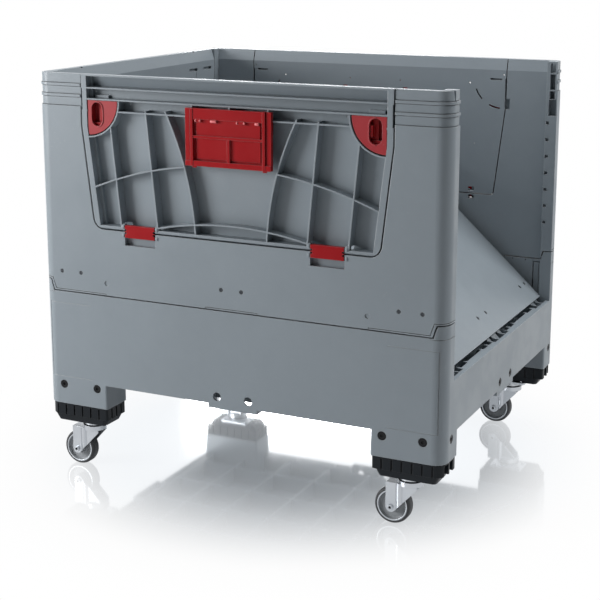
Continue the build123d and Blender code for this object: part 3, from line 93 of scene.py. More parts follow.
class Bench:
    """A workbench that lays out and joins the nodes of one shader tree."""

    def __init__(self, tree: bpy.types.NodeTree) -> None:
        """Takes the tree that the nodes go into."""
        self.tree = tree

    def add(self, kind: str, **settings: object) -> bpy.types.Node:
        """Adds a node.

        Args:
            kind: The node's type name, without its ShaderNode prefix.
            settings: Properties of the node to set.

        Returns:
            The new node.
        """
        node = self.tree.nodes.new("ShaderNode" + kind)
        for name, value in settings.items():
            setattr(node, name, value)
        return node

    def feed(self, socket: bpy.types.NodeSocket, source: object) -> None:
        """Links an output to a socket, or sets the socket's own value.

        Args:
            socket: The input to feed.
            source: A value or an output.
        """
        if isinstance(source, bpy.types.NodeSocket):
            self.tree.links.new(source, socket)
        else:
            socket.default_value = source

    def maths(
        self, operation: str, first: object, second: object = 0.0
    ) -> bpy.types.NodeSocket:
        """Adds a sum of two values.

        Args:
            operation: The name of the sum, such as ADD.
            first: A value or an output.
            second: A value or an output.

        Returns:
            The result's output.
        """
        node = self.add("Math", operation=operation)
        self.feed(node.inputs[0], first)
        self.feed(node.inputs[1], second)
        return node.outputs[0]

    def spread(self, value: object, source: Span, target: Span = WHOLE) -> bpy.types.NodeSocket:
        """Maps a value from one range to another and holds it there.

        Args:
            value: A value or an output.
            source: The range that it comes in.
            target: The range that it goes out in.

        Returns:
            The mapped value's output.
        """
        node = self.add("MapRange", interpolation_type="SMOOTHSTEP")
        for socket, part in zip(node.inputs[1:5], (*source, *target)):
            socket.default_value = part
        self.feed(node.inputs[0], value)
        return node.outputs[0]

    def blend(self, amount: object, first: object, second: object) -> bpy.types.NodeSocket:
        """Mixes two colours.

        Args:
            amount: How much of the second colour shows.
            first: A colour or an output.
            second: A colour or an output.

        Returns:
            The mixed colour's output.
        """
        node = self.add("Mix", data_type="RGBA")
        self.feed(node.inputs["Factor"], amount)
        self.feed(node.inputs[6], first)
        self.feed(node.inputs[7], second)
        return node.outputs[2]

    def noise(
        self, place: object, scale: object, detail: float, rough: float = 0.5
    ) -> bpy.types.NodeSocket:
        """Adds a noise over a place.

        Args:
            place: The output with the coordinates.
            scale: How many features there are in a metre.
            detail: How many finer layers it has.
            rough: How strong the finer layers are.

        Returns:
            The noise's value output.
        """
        node = self.add("TexNoise")
        self.feed(node.inputs["Vector"], place)
        self.feed(node.inputs["Scale"], scale)
        self.feed(node.inputs["Detail"], detail)
        self.feed(node.inputs["Roughness"], rough)
        return node.outputs[0]

    def bump(
        self, strength: float, depth: float, height: object, normal: object
    ) -> bpy.types.NodeSocket:
        """Adds a fine relief over a surface.

        Args:
            strength: How much of the relief shows.
            depth: How deep it is.
            height: The output with its height.
            normal: The output with the normal under it.

        Returns:
            The output with the new normal.
        """
        node = self.add("Bump")
        self.feed(node.inputs["Strength"], strength)
        self.feed(node.inputs["Distance"], depth)
        self.feed(node.inputs["Height"], height)
        self.feed(node.inputs["Normal"], normal)
        return node.outputs[0]

    def layer(self, amount: object, under: object, over: object) -> bpy.types.NodeSocket:
        """Lays one shader over another.

        Args:
            amount: How much of the upper one shows.
            under: The lower shader's output.
            over: The upper shader's output.

        Returns:
            The joined shader's output.
        """
        node = self.add("MixShader")
        for socket, source in zip(node.inputs, (amount, under, over)):
            self.feed(socket, source)
        return node.outputs[0]


class Effect(Enum):
    """The surface effects that several finishes share."""

    CLOUD = "cloud_tone"
    GRAIN = "mould_grain"
    EDGE = "rounded_edge"
    SCUFF = "fine_scuffs"


class Effects:
    """Builds each shared effect once, as a shader node group."""

    CLOUD_FINER = 11.0
    CLOUD_SHARES = (0.7, 0.3)
    CLOUD_TONES = (0.32, 0.68)
    GRAIN_CELLS = 0.7
    GRAIN_SHARES = (0.6, 0.4)
    GRAIN_PATCHES = 0.012
    GRAIN_SHEEN = (0.3, 0.7)
    EDGE_SAMPLES = 6
    EDGE_LEAN = (0.02, 0.22)
    SCUFF_LAYS = ((0.35, 0.03), (-0.9, 0.05))
    SCUFF_LEAN = 0.6
    SCUFF_LINES = (0.68, 0.76)
    SCUFF_PATCHES = 5.0
    SCUFF_PATCH_TONES = (0.45, 0.7)

    def __init__(self) -> None:
        """Builds all the groups."""
        self.groups = {
            Effect.CLOUD: self.cloud(),
            Effect.GRAIN: self.grain(),
            Effect.EDGE: self.edge(),
            Effect.SCUFF: self.scuff(),
        }

    @staticmethod
    def start(effect: Effect, inputs: Sockets, outputs: Sockets) -> tuple:
        """Starts a group.

        Args:
            effect: The effect that the group is for.
            inputs: The names and kinds of its inputs.
            outputs: The names and kinds of its outputs.

        Returns:
            The group, its bench, its input node and its output node.
        """
        group = bpy.data.node_groups.new(effect.value, "ShaderNodeTree")
        for name, kind in inputs:
            group.interface.new_socket(name, in_out="INPUT", socket_type="NodeSocket" + kind)
        for name, kind in outputs:
            group.interface.new_socket(name, in_out="OUTPUT", socket_type="NodeSocket" + kind)
        bench = Bench(group)
        return group, bench, group.nodes.new("NodeGroupInput"), group.nodes.new("NodeGroupOutput")

    @staticmethod
    def weigh(bench: Bench, first: object, second: object, shares: Span) -> bpy.types.NodeSocket:
        """Adds up a share of each of two values.

        Args:
            bench: The bench of the group.
            first: An output.
            second: An output.
            shares: How much of each counts.

        Returns:
            The output with the total.
        """
        parts = [bench.maths("MULTIPLY", value, share) for value, share in zip((first, second), shares)]
        return bench.maths("ADD", *parts)

    def cloud(self) -> bpy.types.NodeTree:
        """Builds the slow change of tone in a large moulding.

        Returns:
            The group.
        """
        group, bench, given, result = self.start(
            Effect.CLOUD, (("Place", "Vector"), ("Scale", "Float")), (("Tone", "Float"),)
        )
        place, scale = given.outputs[0], given.outputs[1]
        broad = bench.noise(place, scale, 3.0)
        close = bench.noise(place, bench.maths("MULTIPLY", scale, self.CLOUD_FINER), 4.0, 0.6)
        tone = self.weigh(bench, broad, close, self.CLOUD_SHARES)
        bench.feed(result.inputs[0], bench.spread(tone, self.CLOUD_TONES))
        return group

    def grain(self) -> bpy.types.NodeTree:
        """Builds the fine grain that the mould leaves on a surface.

        Returns:
            The group.
        """
        group, bench, given, result = self.start(
            Effect.GRAIN,
            (("Place", "Vector"), ("Scale", "Float")),
            (("Height", "Float"), ("Sheen", "Float")),
        )
        place, scale = given.outputs[0], given.outputs[1]
        fine = bench.noise(place, scale, 2.0, 0.6)
        cells = bench.add("TexVoronoi", feature="SMOOTH_F1")
        bench.feed(cells.inputs["Vector"], place)
        bench.feed(cells.inputs["Scale"], bench.maths("MULTIPLY", scale, self.GRAIN_CELLS))
        bench.feed(result.inputs[0], self.weigh(bench, fine, cells.outputs[0], self.GRAIN_SHARES))
        patches = bench.noise(place, bench.maths("MULTIPLY", scale, self.GRAIN_PATCHES), 3.0)
        bench.feed(result.inputs[1], bench.spread(patches, self.GRAIN_SHEEN))
        return group

    def edge(self) -> bpy.types.NodeTree:
        """Builds the small rounding of every edge, and where it lies.

        Returns:
            The group.
        """
        group, bench, given, result = self.start(
            Effect.EDGE, (("Radius", "Float"),), (("Mask", "Float"), ("Normal", "Vector"))
        )
        rounded = bench.add("Bevel", samples=self.EDGE_SAMPLES)
        bench.feed(rounded.inputs["Radius"], given.outputs[0])
        faces = bench.add("NewGeometry")
        lean = bench.add("VectorMath", operation="DOT_PRODUCT")
        bench.feed(lean.inputs[0], rounded.outputs[0])
        bench.feed(lean.inputs[1], faces.outputs["Normal"])
        turned = bench.maths("SUBTRACT", 1.0, lean.outputs["Value"])
        bench.feed(result.inputs[0], bench.spread(turned, self.EDGE_LEAN))
        bench.feed(result.inputs[1], rounded.outputs[0])
        return group

    def scuff(self) -> bpy.types.NodeTree:
        """Builds thin scuff marks, a little denser in patches.

        Returns:
            The group.
        """
        group, bench, given, result = self.start(
            Effect.SCUFF, (("Place", "Vector"), ("Scale", "Float")), (("Mask", "Float"),)
        )
        marks = []
        for turn, stretch in self.SCUFF_LAYS:
            laid = bench.add("Mapping")
            bench.feed(laid.inputs["Vector"], given.outputs[0])
            laid.inputs["Rotation"].default_value = (turn, turn * self.SCUFF_LEAN, turn)
            laid.inputs["Scale"].default_value = (1.0, stretch, 1.0)
            lines = bench.noise(laid.outputs[0], given.outputs[1], 1.0)
            marks.append(bench.spread(lines, self.SCUFF_LINES))
        patches = bench.noise(given.outputs[0], self.SCUFF_PATCHES, 2.0)
        denser = bench.spread(patches, self.SCUFF_PATCH_TONES)
        bench.feed(result.inputs[0], bench.maths("MULTIPLY", bench.maths("MAXIMUM", *marks), denser))
        return group

    def place(self, bench: Bench, effect: Effect, **values: object) -> bpy.types.Node:
        """Places an effect in a tree.

        Args:
            bench: The bench of the tree.
            effect: The effect to place.
            values: What goes into its named inputs.

        Returns:
            The group node.
        """
        node = bench.add("Group")
        node.node_tree = self.groups[effect]
        for name, value in values.items():
            bench.feed(node.inputs[name], value)
        return node


@dataclass(frozen=True)
class Finish:
    """What every finish has: a name, a colour and the way that it shines."""

    name: str
    colour: Colour
    rough: float

    def begin(self) -> tuple[bpy.types.Material, Bench, bpy.types.Node, bpy.types.NodeSocket]:
        """Starts a material.

        Returns:
            The material, its bench, its surface shader and the output with its coordinates.
        """
        material = bpy.data.materials.new(self.name)
        material.use_nodes = True
        material.diffuse_color = self.colour
        bench = Bench(material.node_tree)
        surface = material.node_tree.nodes["Principled BSDF"]
        place = bench.add("TexCoord").outputs["Object"]
        return material, bench, surface, place


@dataclass(frozen=True)
class PlasticFinish(Finish):
    """Moulded plastic with a fine grain, edges that catch the light as a painted highlight, and painted
    shade in dark gaps.
    """

    depth: float = 0.12
    cloud: float = 2.2
    grain: float = 900.0
    relief: float = 0.00012
    bump: float = 0.6
    edge: float = 0.0016
    # How much painted highlight the edges get
    rub: float = 0.25
    scuff: float = 0.08
    scuff_scale: float = 160.0
    scuff_rough: float = 0.1
    paler: float = 0.35
    sheen: float = 0.05
    specular: float = 0.5
    # The gap settings set the painted shade in narrow gaps and seams
    gap: float = 0.008
    gap_tone: float = 0.12
    gap_light: Span = (0.15, 0.62)
    gap_cover: Span = (0.95, 0.0)
    gap_samples: int = 6

    def make(self, effects: Effects) -> bpy.types.Material:
        """Builds the material.

        Args:
            effects: The shared effects.

        Returns:
            The finished material.
        """
        material, bench, surface, place = self.begin()
        tone = effects.place(bench, Effect.CLOUD, Place=place, Scale=self.cloud).outputs[0]
        grain = effects.place(bench, Effect.GRAIN, Place=place, Scale=self.grain)
        edge = effects.place(bench, Effect.EDGE, Radius=self.edge)
        marks = effects.place(bench, Effect.SCUFF, Place=place, Scale=self.scuff_scale).outputs[0]
        # The pale colour serves both the scuffs, which are wear, and the painted highlight on the edges.
        pale = paled(self.colour, self.paler)
        shade = bench.blend(tone, scaled(self.colour, 1 - self.depth), scaled(self.colour, 1 + self.depth))
        shade = bench.blend(bench.maths("MULTIPLY", marks, self.scuff), shade, pale)
        # Painted highlight: the edges are blended towards the pale colour, for the light that their
        # rounding catches.
        shade = bench.blend(bench.maths("MULTIPLY", edge.outputs["Mask"], self.rub), shade, pale)
        # Painted shade: narrow gaps and seams, where ambient occlusion finds little open sky, are darkened
        # in the base colour.
        open_sky = bench.add("AmbientOcclusion", samples=self.gap_samples)
        open_sky.inputs["Distance"].default_value = self.gap
        closed = bench.spread(open_sky.outputs["AO"], self.gap_light, self.gap_cover)
        shade = bench.blend(closed, shade, scaled(self.colour, self.gap_tone))
        bench.feed(surface.inputs["Base Color"], shade)
        sheen = (self.rough - self.sheen, self.rough + self.sheen)
        rough = bench.spread(grain.outputs["Sheen"], WHOLE, sheen)
        rough = bench.maths("ADD", rough, bench.maths("MULTIPLY", marks, self.scuff_rough))
        bench.feed(surface.inputs["Roughness"], rough)
        surface.inputs["Specular IOR Level"].default_value = self.specular
        normal = bench.bump(self.bump, self.relief, grain.outputs["Height"], edge.outputs["Normal"])
        bench.feed(surface.inputs["Normal"], normal)
        return material


@dataclass(frozen=True)
class MetalFinish(Finish):
    """Plated or blackened steel with a slight spangle."""

    spangle: float = 140.0
    drift: float = 9.0
    depth: float = 0.1
    edge: float = 0.001
    sheen: Span = (-0.03, 0.04)

    def make(self, effects: Effects) -> bpy.types.Material:
        """Builds the material.

        Args:
            effects: The shared effects.

        Returns:
            The finished material.
        """
        material, bench, surface, place = self.begin()
        cells = bench.add("TexVoronoi")
        bench.feed(cells.inputs["Vector"], place)
        bench.feed(cells.inputs["Scale"], self.spangle)
        spots = bench.add("SeparateColor")
        bench.feed(spots.inputs[0], cells.outputs["Color"])
        drift = effects.place(bench, Effect.CLOUD, Place=place, Scale=self.drift).outputs[0]
        mix = bench.maths("MULTIPLY", bench.maths("ADD", spots.outputs[0], drift), 0.5)
        edge = effects.place(bench, Effect.EDGE, Radius=self.edge)
        shade = bench.blend(mix, scaled(self.colour, 1 - self.depth), scaled(self.colour, 1 + self.depth))
        bench.feed(surface.inputs["Base Color"], shade)
        sheen = (self.rough + self.sheen[0], self.rough + self.sheen[1])
        bench.feed(surface.inputs["Roughness"], bench.spread(mix, WHOLE, sheen))
        surface.inputs["Metallic"].default_value = 1.0
        bench.feed(surface.inputs["Normal"], edge.outputs["Normal"])
        return material


@dataclass(frozen=True)
class RubberFinish(Finish):
    """Solid rubber, dull and slightly dusty where it rolls."""

    dust: Colour
    dusting: float = 0.25
    cloud: float = 30.0
    grain: float = 1400.0
    relief: float = 0.00015
    bump: float = 0.5
    edge: float = 0.0015
    sheen: float = 0.08

    def make(self, effects: Effects) -> bpy.types.Material:
        """Builds the material.

        Args:
            effects: The shared effects.

        Returns:
            The finished material.
        """
        material, bench, surface, place = self.begin()
        tone = effects.place(bench, Effect.CLOUD, Place=place, Scale=self.cloud).outputs[0]
        grain = effects.place(bench, Effect.GRAIN, Place=place, Scale=self.grain)
        edge = effects.place(bench, Effect.EDGE, Radius=self.edge)
        dusty = bench.maths("MULTIPLY", tone, self.dusting)
        bench.feed(surface.inputs["Base Color"], bench.blend(dusty, self.colour, self.dust))
        sheen = (self.rough - self.sheen, self.rough + self.sheen)
        bench.feed(surface.inputs["Roughness"], bench.spread(tone, WHOLE, sheen))
        normal = bench.bump(self.bump, self.relief, grain.outputs["Height"], edge.outputs["Normal"])
        bench.feed(surface.inputs["Normal"], normal)
        return material


# In each plastic the setting for the paler edges is the strength of a painted highlight, and gap_tone the
# depth of painted shade in narrow gaps.
FINISHES = (
    PlasticFinish(
        "grey_plastic", colour_of(132, 141, 148), 0.4, depth=0.03, rub=0.85, specular=0.4
    ),
    PlasticFinish(
        "red_plastic", colour_of(154, 12, 20), 0.33,
        depth=0.05, grain=1200.0, rub=0.5, scuff=0.03, specular=0.16, gap_tone=0.5,
    ),
    # A lighter copy of the red for the catch covers: the extra lightness is a painted highlight of their
    # sheen.
    PlasticFinish(
        "highlit_satin_red", colour_of(156, 36, 43), 0.44,
        depth=0.05, grain=1200.0, rub=0.5, specular=0.34, gap_tone=0.5,
    ),
    # Pale pink for the label lugs: a painted highlight for the light that catches them.
    PlasticFinish(
        "painted_highlight_red", colour_of(222, 112, 116), 0.3, depth=0.08, grain=1200.0, scuff=0.2, gap_tone=0.6
    ),
    PlasticFinish(
        "black_plastic", colour_of(20, 25, 30), 0.42, depth=0.1, rub=0.12, scuff=0.02, specular=0.16
    ),
    PlasticFinish(
        "black_screw", colour_of(16, 18, 21), 0.36, depth=0.1, rub=0.04, scuff=0.0, specular=0.2
    ),
    MetalFinish("small_screw", colour_of(70, 73, 77), 0.38),
    MetalFinish("zinc", colour_of(182, 186, 191), 0.36, depth=0.02),
    PlasticFinish(
        "wheel_core", colour_of(154, 158, 162), 0.4,
        depth=0.04, grain=1500.0, rub=0.6, specular=0.4, gap_tone=0.4,
    ),
    RubberFinish("tyre", colour_of(44, 46, 49), 0.6, dust=colour_of(86, 88, 90)),
)

# Nodes whose surface differs from the rest of their slot; the catch covers get a lighter red, a painted
# highlight
OWN_FINISHES = {"catch_cover": "highlit_satin_red"}


class Palette:
    """The materials of the part, by the name of their finish."""

    def __init__(self) -> None:
        """Builds every finish."""
        effects = Effects()
        self.materials = {finish.name: finish.make(effects) for finish in FINISHES}

    def dress(self, name: str, node: bpy.types.Object) -> None:
        """Gives a construction node its own finish, or the one that its slot names.

        Args:
            name: The node's name.
            node: The node's object.
        """
        own = next((finish for part, finish in OWN_FINISHES.items() if part in name), "")
        for place in node.material_slots:
            place.material = self.materials[own or place.material.name.split(".")[0]]
        LOG.info("dressed %s", name)


# Small fittings


def put(name: str, data: bpy.types.ID) -> bpy.types.Object:
    """Puts a new object in the scene.

    Args:
        name: What the object is called.
        data: Its mesh, lamp or camera.

    Returns:
        The object.
    """
    thing = bpy.data.objects.new(name, data)
    bpy.context.scene.collection.objects.link(thing)
    return thing


class Corner(Enum):
    """The corners of the container, as the side of each on X and on Y."""

    FRONT_LEFT = (-1, -1)
    FRONT_RIGHT = (1, -1)
    REAR_LEFT = (-1, 1)
    REAR_RIGHT = (1, 1)


class Side(Enum):
    """The long sides of the container, as their turn from the front one."""

    FRONT = 0.0
    REAR = math.pi

    @property
    def label(self) -> str:
        """The side's name in lower case."""
        return self.name.lower()

    @property
    def turn(self) -> Matrix:
        """The turn that takes the front side to this one."""
        return Matrix.Rotation(self.value, 4, "Z")


class Direction(Enum):
    """The ways that a turned piece can stand: its axis, and the turn of its section."""

    ALONG = ((1.0, 0.0, 0.0), -QUARTER_TURN, "Z")
    ACROSS = ((0.0, 1.0, 0.0), 0.0, "Z")
    UPRIGHT = ((0.0, 0.0, 1.0), QUARTER_TURN, "X")


@dataclass(frozen=True)
class RingSection:
    """The section of a turned ring in millimetres: its reach from the axis and along it."""

    inner: float
    outer: float
    low: float
    high: float
    soft: float
    soft_steps: int = 2

    def mirrored(self) -> "RingSection":
        """The same section on the other side of the centre."""
        return RingSection(self.inner, self.outer, -self.high, -self.low, self.soft)

    def turn(self, shape: bmesh.types.BMesh, centre: Vector, way: Direction, steps: int) -> None:
        """Spins the section once round its axis.

        Args:
            shape: The mesh that the ring goes into.
            centre: The point of the axis that the section is measured from.
            way: The direction of the axis.
            steps: How many faces the ring has round it.
        """
        axis, angle, about = way.value
        stand = Matrix.Translation(centre) @ Matrix.Rotation(angle, 4, about)
        middle = Vector(((self.inner + self.outer) / 2, (self.low + self.high) / 2, 0.0)) * MM
        size = ((self.outer - self.inner) * MM, (self.high - self.low) * MM, 1.0, 1.0)
        place = stand @ Matrix.Translation(middle) @ Matrix.Diagonal(size)
        sheet = bmesh.ops.create_grid(shape, x_segments=1, y_segments=1, size=0.5, matrix=place)
        bmesh.ops.bevel(
            shape, geom=sheet["verts"], offset=self.soft * MM, segments=self.soft_steps,
            profile=0.5, affect="VERTICES", material=-1,
        )
        edges = [edge for edge in shape.edges if edge.is_boundary]
        faces = [face for face in shape.faces if any(edge.is_boundary for edge in face.edges)]
        bmesh.ops.delete(shape, geom=faces, context="FACES_ONLY")
        points = list({point for edge in edges for point in edge.verts})
        bmesh.ops.spin(
            shape, geom=edges + points, cent=centre, axis=axis, angle=FULL_TURN,
            steps=steps, use_merge=True,
        )


@dataclass
class Trim:
    """Small fittings that are dressed from the palette and ride a body."""

    palette: Palette

    def hand_over(
        self, shape: bmesh.types.BMesh, name: str, body: str, slot: str, finish: str = ""
    ) -> None:
        """Turns a shape into a dressed piece that rides a body.

        Args:
            shape: The finished mesh, which is freed here.
            name: What the piece is called.
            body: The body that it rides.
            slot: The slot that its finish belongs to.
            finish: The finish that it is dressed in, where that isn't the slot's own.
        """
        bmesh.ops.recalc_face_normals(shape, faces=shape.faces)
        for face in shape.faces:
            face.smooth = True
        mesh = bpy.data.meshes.new(name)
        shape.to_mesh(mesh)
        shape.free()
        mesh.materials.append(self.palette.materials[finish or slot])
        piece = put(name, mesh)
        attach(piece, body)
        LOG.info("made %s", name)


@dataclass
class Castor(Trim):
    """The trim of one swivel castor: rim rings, a dust seal and the lining of the axle's socket."""

    corner: Corner
    swivel: Span = (489.0, 433.0)
    trail: float = 47.0
    axle_height: float = 50.0
    rim: RingSection = RingSection(38.5, 42.3, 13.7, 15.4, 0.6)
    rim_steps: int = 72
    seal: RingSection = RingSection(30.5, 33.6, 125.9, 129.6, 0.8)
    seal_steps: int = 64
    socket_sides: int = 6
    socket_radius: float = 3.9
    socket_floor: float = 27.4
    socket_height: float = 0.9
    socket_lip: float = 0.25
    socket_dip: float = 0.6

    @property
    def name(self) -> str:
        """The corner's name in lower case."""
        return self.corner.name.lower()

    @property
    def pivot(self) -> Vector:
        """The foot of the swivel axis on the floor."""
        side_x, side_y = self.corner.value
        return Vector((side_x * self.swivel[0], side_y * self.swivel[1], 0.0)) * MM

    @property
    def hub(self) -> Vector:
        """The middle of the wheel."""
        return self.pivot + Vector((-self.trail, 0.0, self.axle_height)) * MM

    def build_rim_rings(self) -> None:
        """Makes the pale zinc ring on each side of the wheel, where the tyre meets its core; its
        brightness is a painted highlight for the light on the core's lip.
        """
        shape = bmesh.new()
        for section in (self.rim, self.rim.mirrored()):
            section.turn(shape, self.hub, Direction.ACROSS, self.rim_steps)
        # Zinc here paints the highlight of the core's lip.
        self.hand_over(shape, f"wheel_rim_rings_{self.name}", f"wheel_{self.name}", "zinc")

    def build_dust_seal(self) -> None:
        """Makes the dark seal on the fork's crown, round the race."""
        shape = bmesh.new()
        self.seal.turn(shape, self.pivot, Direction.UPRIGHT, self.seal_steps)
        self.hand_over(shape, f"swivel_dust_seal_{self.name}", f"castor_{self.name}", "black_plastic")

    def build_socket_lining(self) -> None:
        """Makes the dark six-sided cup at the bottom of the axle's socket."""
        shape = bmesh.new()
        radius, height = self.socket_radius * MM, self.socket_height * MM
        floor = self.hub + Vector((0.0, -self.socket_floor * MM, 0.0))
        place = Matrix.Translation(floor) @ Matrix.Rotation(QUARTER_TURN, 4, "X")
        bmesh.ops.create_circle(
            shape, cap_ends=True, segments=self.socket_sides, radius=radius, matrix=place
        )
        raised = bmesh.ops.extrude_face_region(shape, geom=list(shape.faces))["geom"]
        front = [item for item in raised if isinstance(item, bmesh.types.BMFace)]
        points = [item for item in raised if isinstance(item, bmesh.types.BMVert)]
        bmesh.ops.translate(shape, verts=points, vec=(0.0, -height, 0.0))
        bmesh.ops.inset_region(shape, faces=front, thickness=radius * self.socket_lip)
        bmesh.ops.translate(shape, verts=front[0].verts, vec=(0.0, height * self.socket_dip, 0.0))
        self.hand_over(shape, f"axle_socket_lining_{self.name}", f"castor_{self.name}", "black_screw")

    def build(self) -> None:
        """Makes every piece of the castor's trim."""
        self.build_rim_rings()
        self.build_dust_seal()
        self.build_socket_lining()


@dataclass
class LabelHolder(Trim):
    """The rounded lugs that keep a card in the label holder of one flap, dressed in a pale pink that
    paints the highlights on them.

    Each lug is given as its middle and half its length.
    """

    side: Side
    lugs: tuple[Span, ...] = (
        (-91.5, 2.2), (-78.5, 2.2), (-39.0, 9.2), (29.5, 2.4), (50.5, 2.4), (87.0, 6.0)
    )
    face: float = 514.2
    middle_height: float = 1035.6
    depth: float = 4.4
    height: float = 6.6
    soft: float = 1.9
    soft_steps: int = 3

    def build(self) -> None:
        """Makes the lugs of the holder as one piece."""
        shape = bmesh.new()
        for middle, half in self.lugs:
            place = Matrix.Translation(Vector((middle, -self.face, self.middle_height)) * MM)
            size = Matrix.Diagonal((2 * half * MM, self.depth * MM, self.height * MM, 1.0))
            block = bmesh.ops.create_cube(shape, size=1.0, matrix=self.side.turn @ place @ size)
            edges = list({edge for point in block["verts"] for edge in point.link_edges})
            bmesh.ops.bevel(
                shape, geom=edges, offset=self.soft * MM, segments=self.soft_steps,
                profile=0.5, affect="EDGES", material=-1,
            )
        name = self.side.label
        # The lugs wear the pale pink finish, a painted highlight.
        self.hand_over(shape, f"{name}_label_lugs", f"{name}_flap", "red_plastic", "painted_highlight_red")


@dataclass
class FlapHinges(Trim):
    """The knuckles beside both hinge clips of one flap: two rows, one for each pin."""

    side: Side
    clip: float = 277.5
    reach: float = 52.6
    pin_depth: float = 494.0
    flap_pin: float = 732.0
    sill_pin: float = 708.0
    knuckle: RingSection = RingSection(3.0, 8.4, -3.8, 3.8, 0.8)
    knuckle_steps: int = 32

    def build_row(self, height: float, row: str, body: str) -> None:
        """Makes the four knuckles on one pin's level as one piece.

        Args:
            height: The level of the pin.
            row: What the row belongs to.
            body: The body that it rides.
        """
        shape = bmesh.new()
        for clip in (-self.clip, self.clip):
            for end in (-self.reach, self.reach):
                centre = self.side.turn @ (Vector((clip + end, -self.pin_depth, height)) * MM)
                self.knuckle.turn(shape, centre, Direction.ALONG, self.knuckle_steps)
        self.hand_over(shape, f"{self.side.label}_{row}_knuckles", body, "grey_plastic")

    def build(self) -> None:
        """Makes the rows on the flap and on the sill."""
        self.build_row(self.flap_pin, "flap", f"{self.side.label}_flap")
        self.build_row(self.sill_pin, "sill", "container")


# Studio


@dataclass(frozen=True)
class Softbox:
    """A square area lamp that looks at a point."""

    name: str
    place: Point
    target: Point
    size: float
    power: float

    def build(self) -> None:
        """Puts the lamp in the scene."""
        lamp = bpy.data.lights.new(self.name, "AREA")
        lamp.size = self.size
        lamp.energy = self.power
        holder = put(self.name, lamp)
        holder.location = self.place
        towards = Vector(self.target) - Vector(self.place)
        holder.rotation_euler = towards.to_track_quat("-Z", "Y").to_euler()


LAMPS = (
    Softbox("top_lamp", (0.1, 0.2, 4.2), (0.0, 0.0, 0.5), 3.0, 114.0),
    Softbox("left_lamp", (-3.0, -2.4, 1.5), (-0.2, -0.5, 1.1), 1.6, 128.0),
    Softbox("right_lamp", (3.2, 1.2, 3.4), (0.2, 0.0, 0.6), 1.8, 92.0),
    Softbox("rear_lamp", (-2.0, 4.2, 0.9), (0.0, 0.0, 0.6), 1.6, 100.0),
)


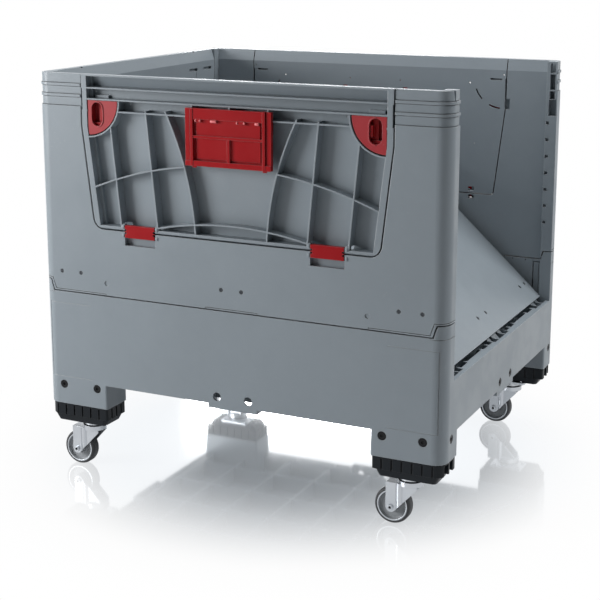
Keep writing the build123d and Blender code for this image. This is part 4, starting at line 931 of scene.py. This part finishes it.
@dataclass
class Studio:
    """The pale floor, the white surroundings, the lamps and the camera."""

    ambient: float = 0.04
    floor_radius: float = 9.0
    floor_sides: int = 96
    floor_colour: Colour = colour_of(222, 223, 224)
    floor_rough: float = 0.7
    floor_reach: Span = (0.5, 1.15)
    glow: float = 0.88
    polish_reach: Span = (0.27, 0.9)
    polish: float = 0.74
    polish_colour: Colour = (0.97, 0.985, 1.0, 1.0)
    polish_rough: float = 0.06
    # Cool tint of the floor's glow where it is polished: a painted tint for the colour of the reflection
    cool: Colour = (0.84, 0.92, 1.0, 1.0)
    lamps: tuple[Softbox, ...] = LAMPS
    camera_place: Point = (1.6758, -3.5626, 1.4796)
    camera_turn: float = 25.712
    camera_dip: float = 12.187
    sensor: float = 36.0
    lens: float = 82.1
    shift: float = -0.1

    def white_rays(self, bench: Bench) -> bpy.types.NodeSocket:
        """Finds the rays that see the plain white surroundings.

        Args:
            bench: The bench of the material or world.

        Returns:
            An output that is 1 for camera, glossy and transmission rays.
        """
        path = bench.add("LightPath")
        seen = bench.maths("MAXIMUM", path.outputs["Is Camera Ray"], path.outputs["Is Glossy Ray"])
        return bench.maths("MAXIMUM", seen, path.outputs["Is Transmission Ray"])

    def build_world(self) -> None:
        """Lights the part evenly and shows white behind it."""
        world = bpy.data.worlds.new("studio_white")
        world.use_nodes = True
        bench = Bench(world.node_tree)
        lit = world.node_tree.nodes["Background"]
        seen = bench.add("Background")
        for sky, strength in ((lit, self.ambient), (seen, 1.0)):
            sky.inputs["Color"].default_value = WHITE
            sky.inputs["Strength"].default_value = strength
        mix = bench.layer(self.white_rays(bench), lit.outputs[0], seen.outputs[0])
        bench.feed(world.node_tree.nodes["World Output"].inputs["Surface"], mix)
        bpy.context.scene.world = world

    def floor_material(self) -> bpy.types.Material:
        """Builds a white floor, polished near the part, that fades into the surroundings.

        Returns:
            The floor's material.
        """
        material = bpy.data.materials.new("polished_floor")
        material.use_nodes = True
        bench = Bench(material.node_tree)
        surface = material.node_tree.nodes["Principled BSDF"]
        surface.inputs["Base Color"].default_value = self.floor_colour
        surface.inputs["Roughness"].default_value = self.floor_rough
        surface.inputs["Specular IOR Level"].default_value = 0.0
        polish = bench.add("BsdfGlossy")
        polish.inputs["Color"].default_value = self.polish_colour
        polish.inputs["Roughness"].default_value = self.polish_rough
        plain = bench.add("Emission")
        plain.inputs["Strength"].default_value = 1.0
        seen = self.white_rays(bench)
        reach = bench.add("VectorMath", operation="LENGTH")
        bench.feed(reach.inputs[0], bench.add("TexCoord").outputs["Object"])
        mirror = bench.spread(reach.outputs["Value"], self.polish_reach, (self.polish, 0.0))
        far = bench.spread(reach.outputs["Value"], self.floor_reach, (self.glow, 1.0))
        # Painted reflection tint: the glow turns cool where the floor is polished.
        bench.feed(plain.inputs["Color"], bench.blend(mirror, WHITE, self.cool))
        shader = surface.outputs[0]
        for amount, over in ((far, plain), (mirror, polish)):
            shader = bench.layer(bench.maths("MULTIPLY", amount, seen), shader, over.outputs[0])
        bench.feed(material.node_tree.nodes["Material Output"].inputs["Surface"], shader)
        return material

    def build_floor(self) -> None:
        """Lays the round floor under the wheels."""
        shape = bmesh.new()
        bmesh.ops.create_circle(
            shape, cap_ends=True, segments=self.floor_sides, radius=self.floor_radius
        )
        mesh = bpy.data.meshes.new("floor")
        shape.to_mesh(mesh)
        shape.free()
        mesh.materials.append(self.floor_material())
        floor = put("floor", mesh)

    def build_lamps(self) -> None:
        """Hangs every lamp."""
        for lamp in self.lamps:
            lamp.build()

    def build_camera(self) -> None:
        """Stands the camera where the view of the part asks for it."""
        data = bpy.data.cameras.new("camera")
        data.sensor_width = self.sensor
        data.lens = self.lens
        data.shift_y = self.shift
        camera = put("camera", data)
        camera.location = self.camera_place
        turn, dip = math.radians(self.camera_turn), math.radians(self.camera_dip)
        level = math.cos(dip)
        ahead = Vector((-math.sin(turn) * level, math.cos(turn) * level, -math.sin(dip)))
        camera.rotation_euler = ahead.to_track_quat("-Z", "Y").to_euler()
        bpy.context.scene.camera = camera

    def build(self) -> None:
        """Sets up the whole studio."""
        bpy.context.scene.view_settings.view_transform = "Standard"
        self.build_world()
        self.build_floor()
        self.build_lamps()
        self.build_camera()


def main() -> None:
    """Builds the scene round the construction frame."""
    logging.basicConfig(level=logging.INFO)
    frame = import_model()
    palette = Palette()
    for name, node in frame["nodes"].items():
        palette.dress(name, node)
    for corner in Corner:
        Castor(palette, corner).build()
    for side in Side:
        LabelHolder(palette, side).build()
        FlapHinges(palette, side).build()
    Studio().build()
    bpy.context.view_layer.update()


if __name__ == "__main__":
    main()
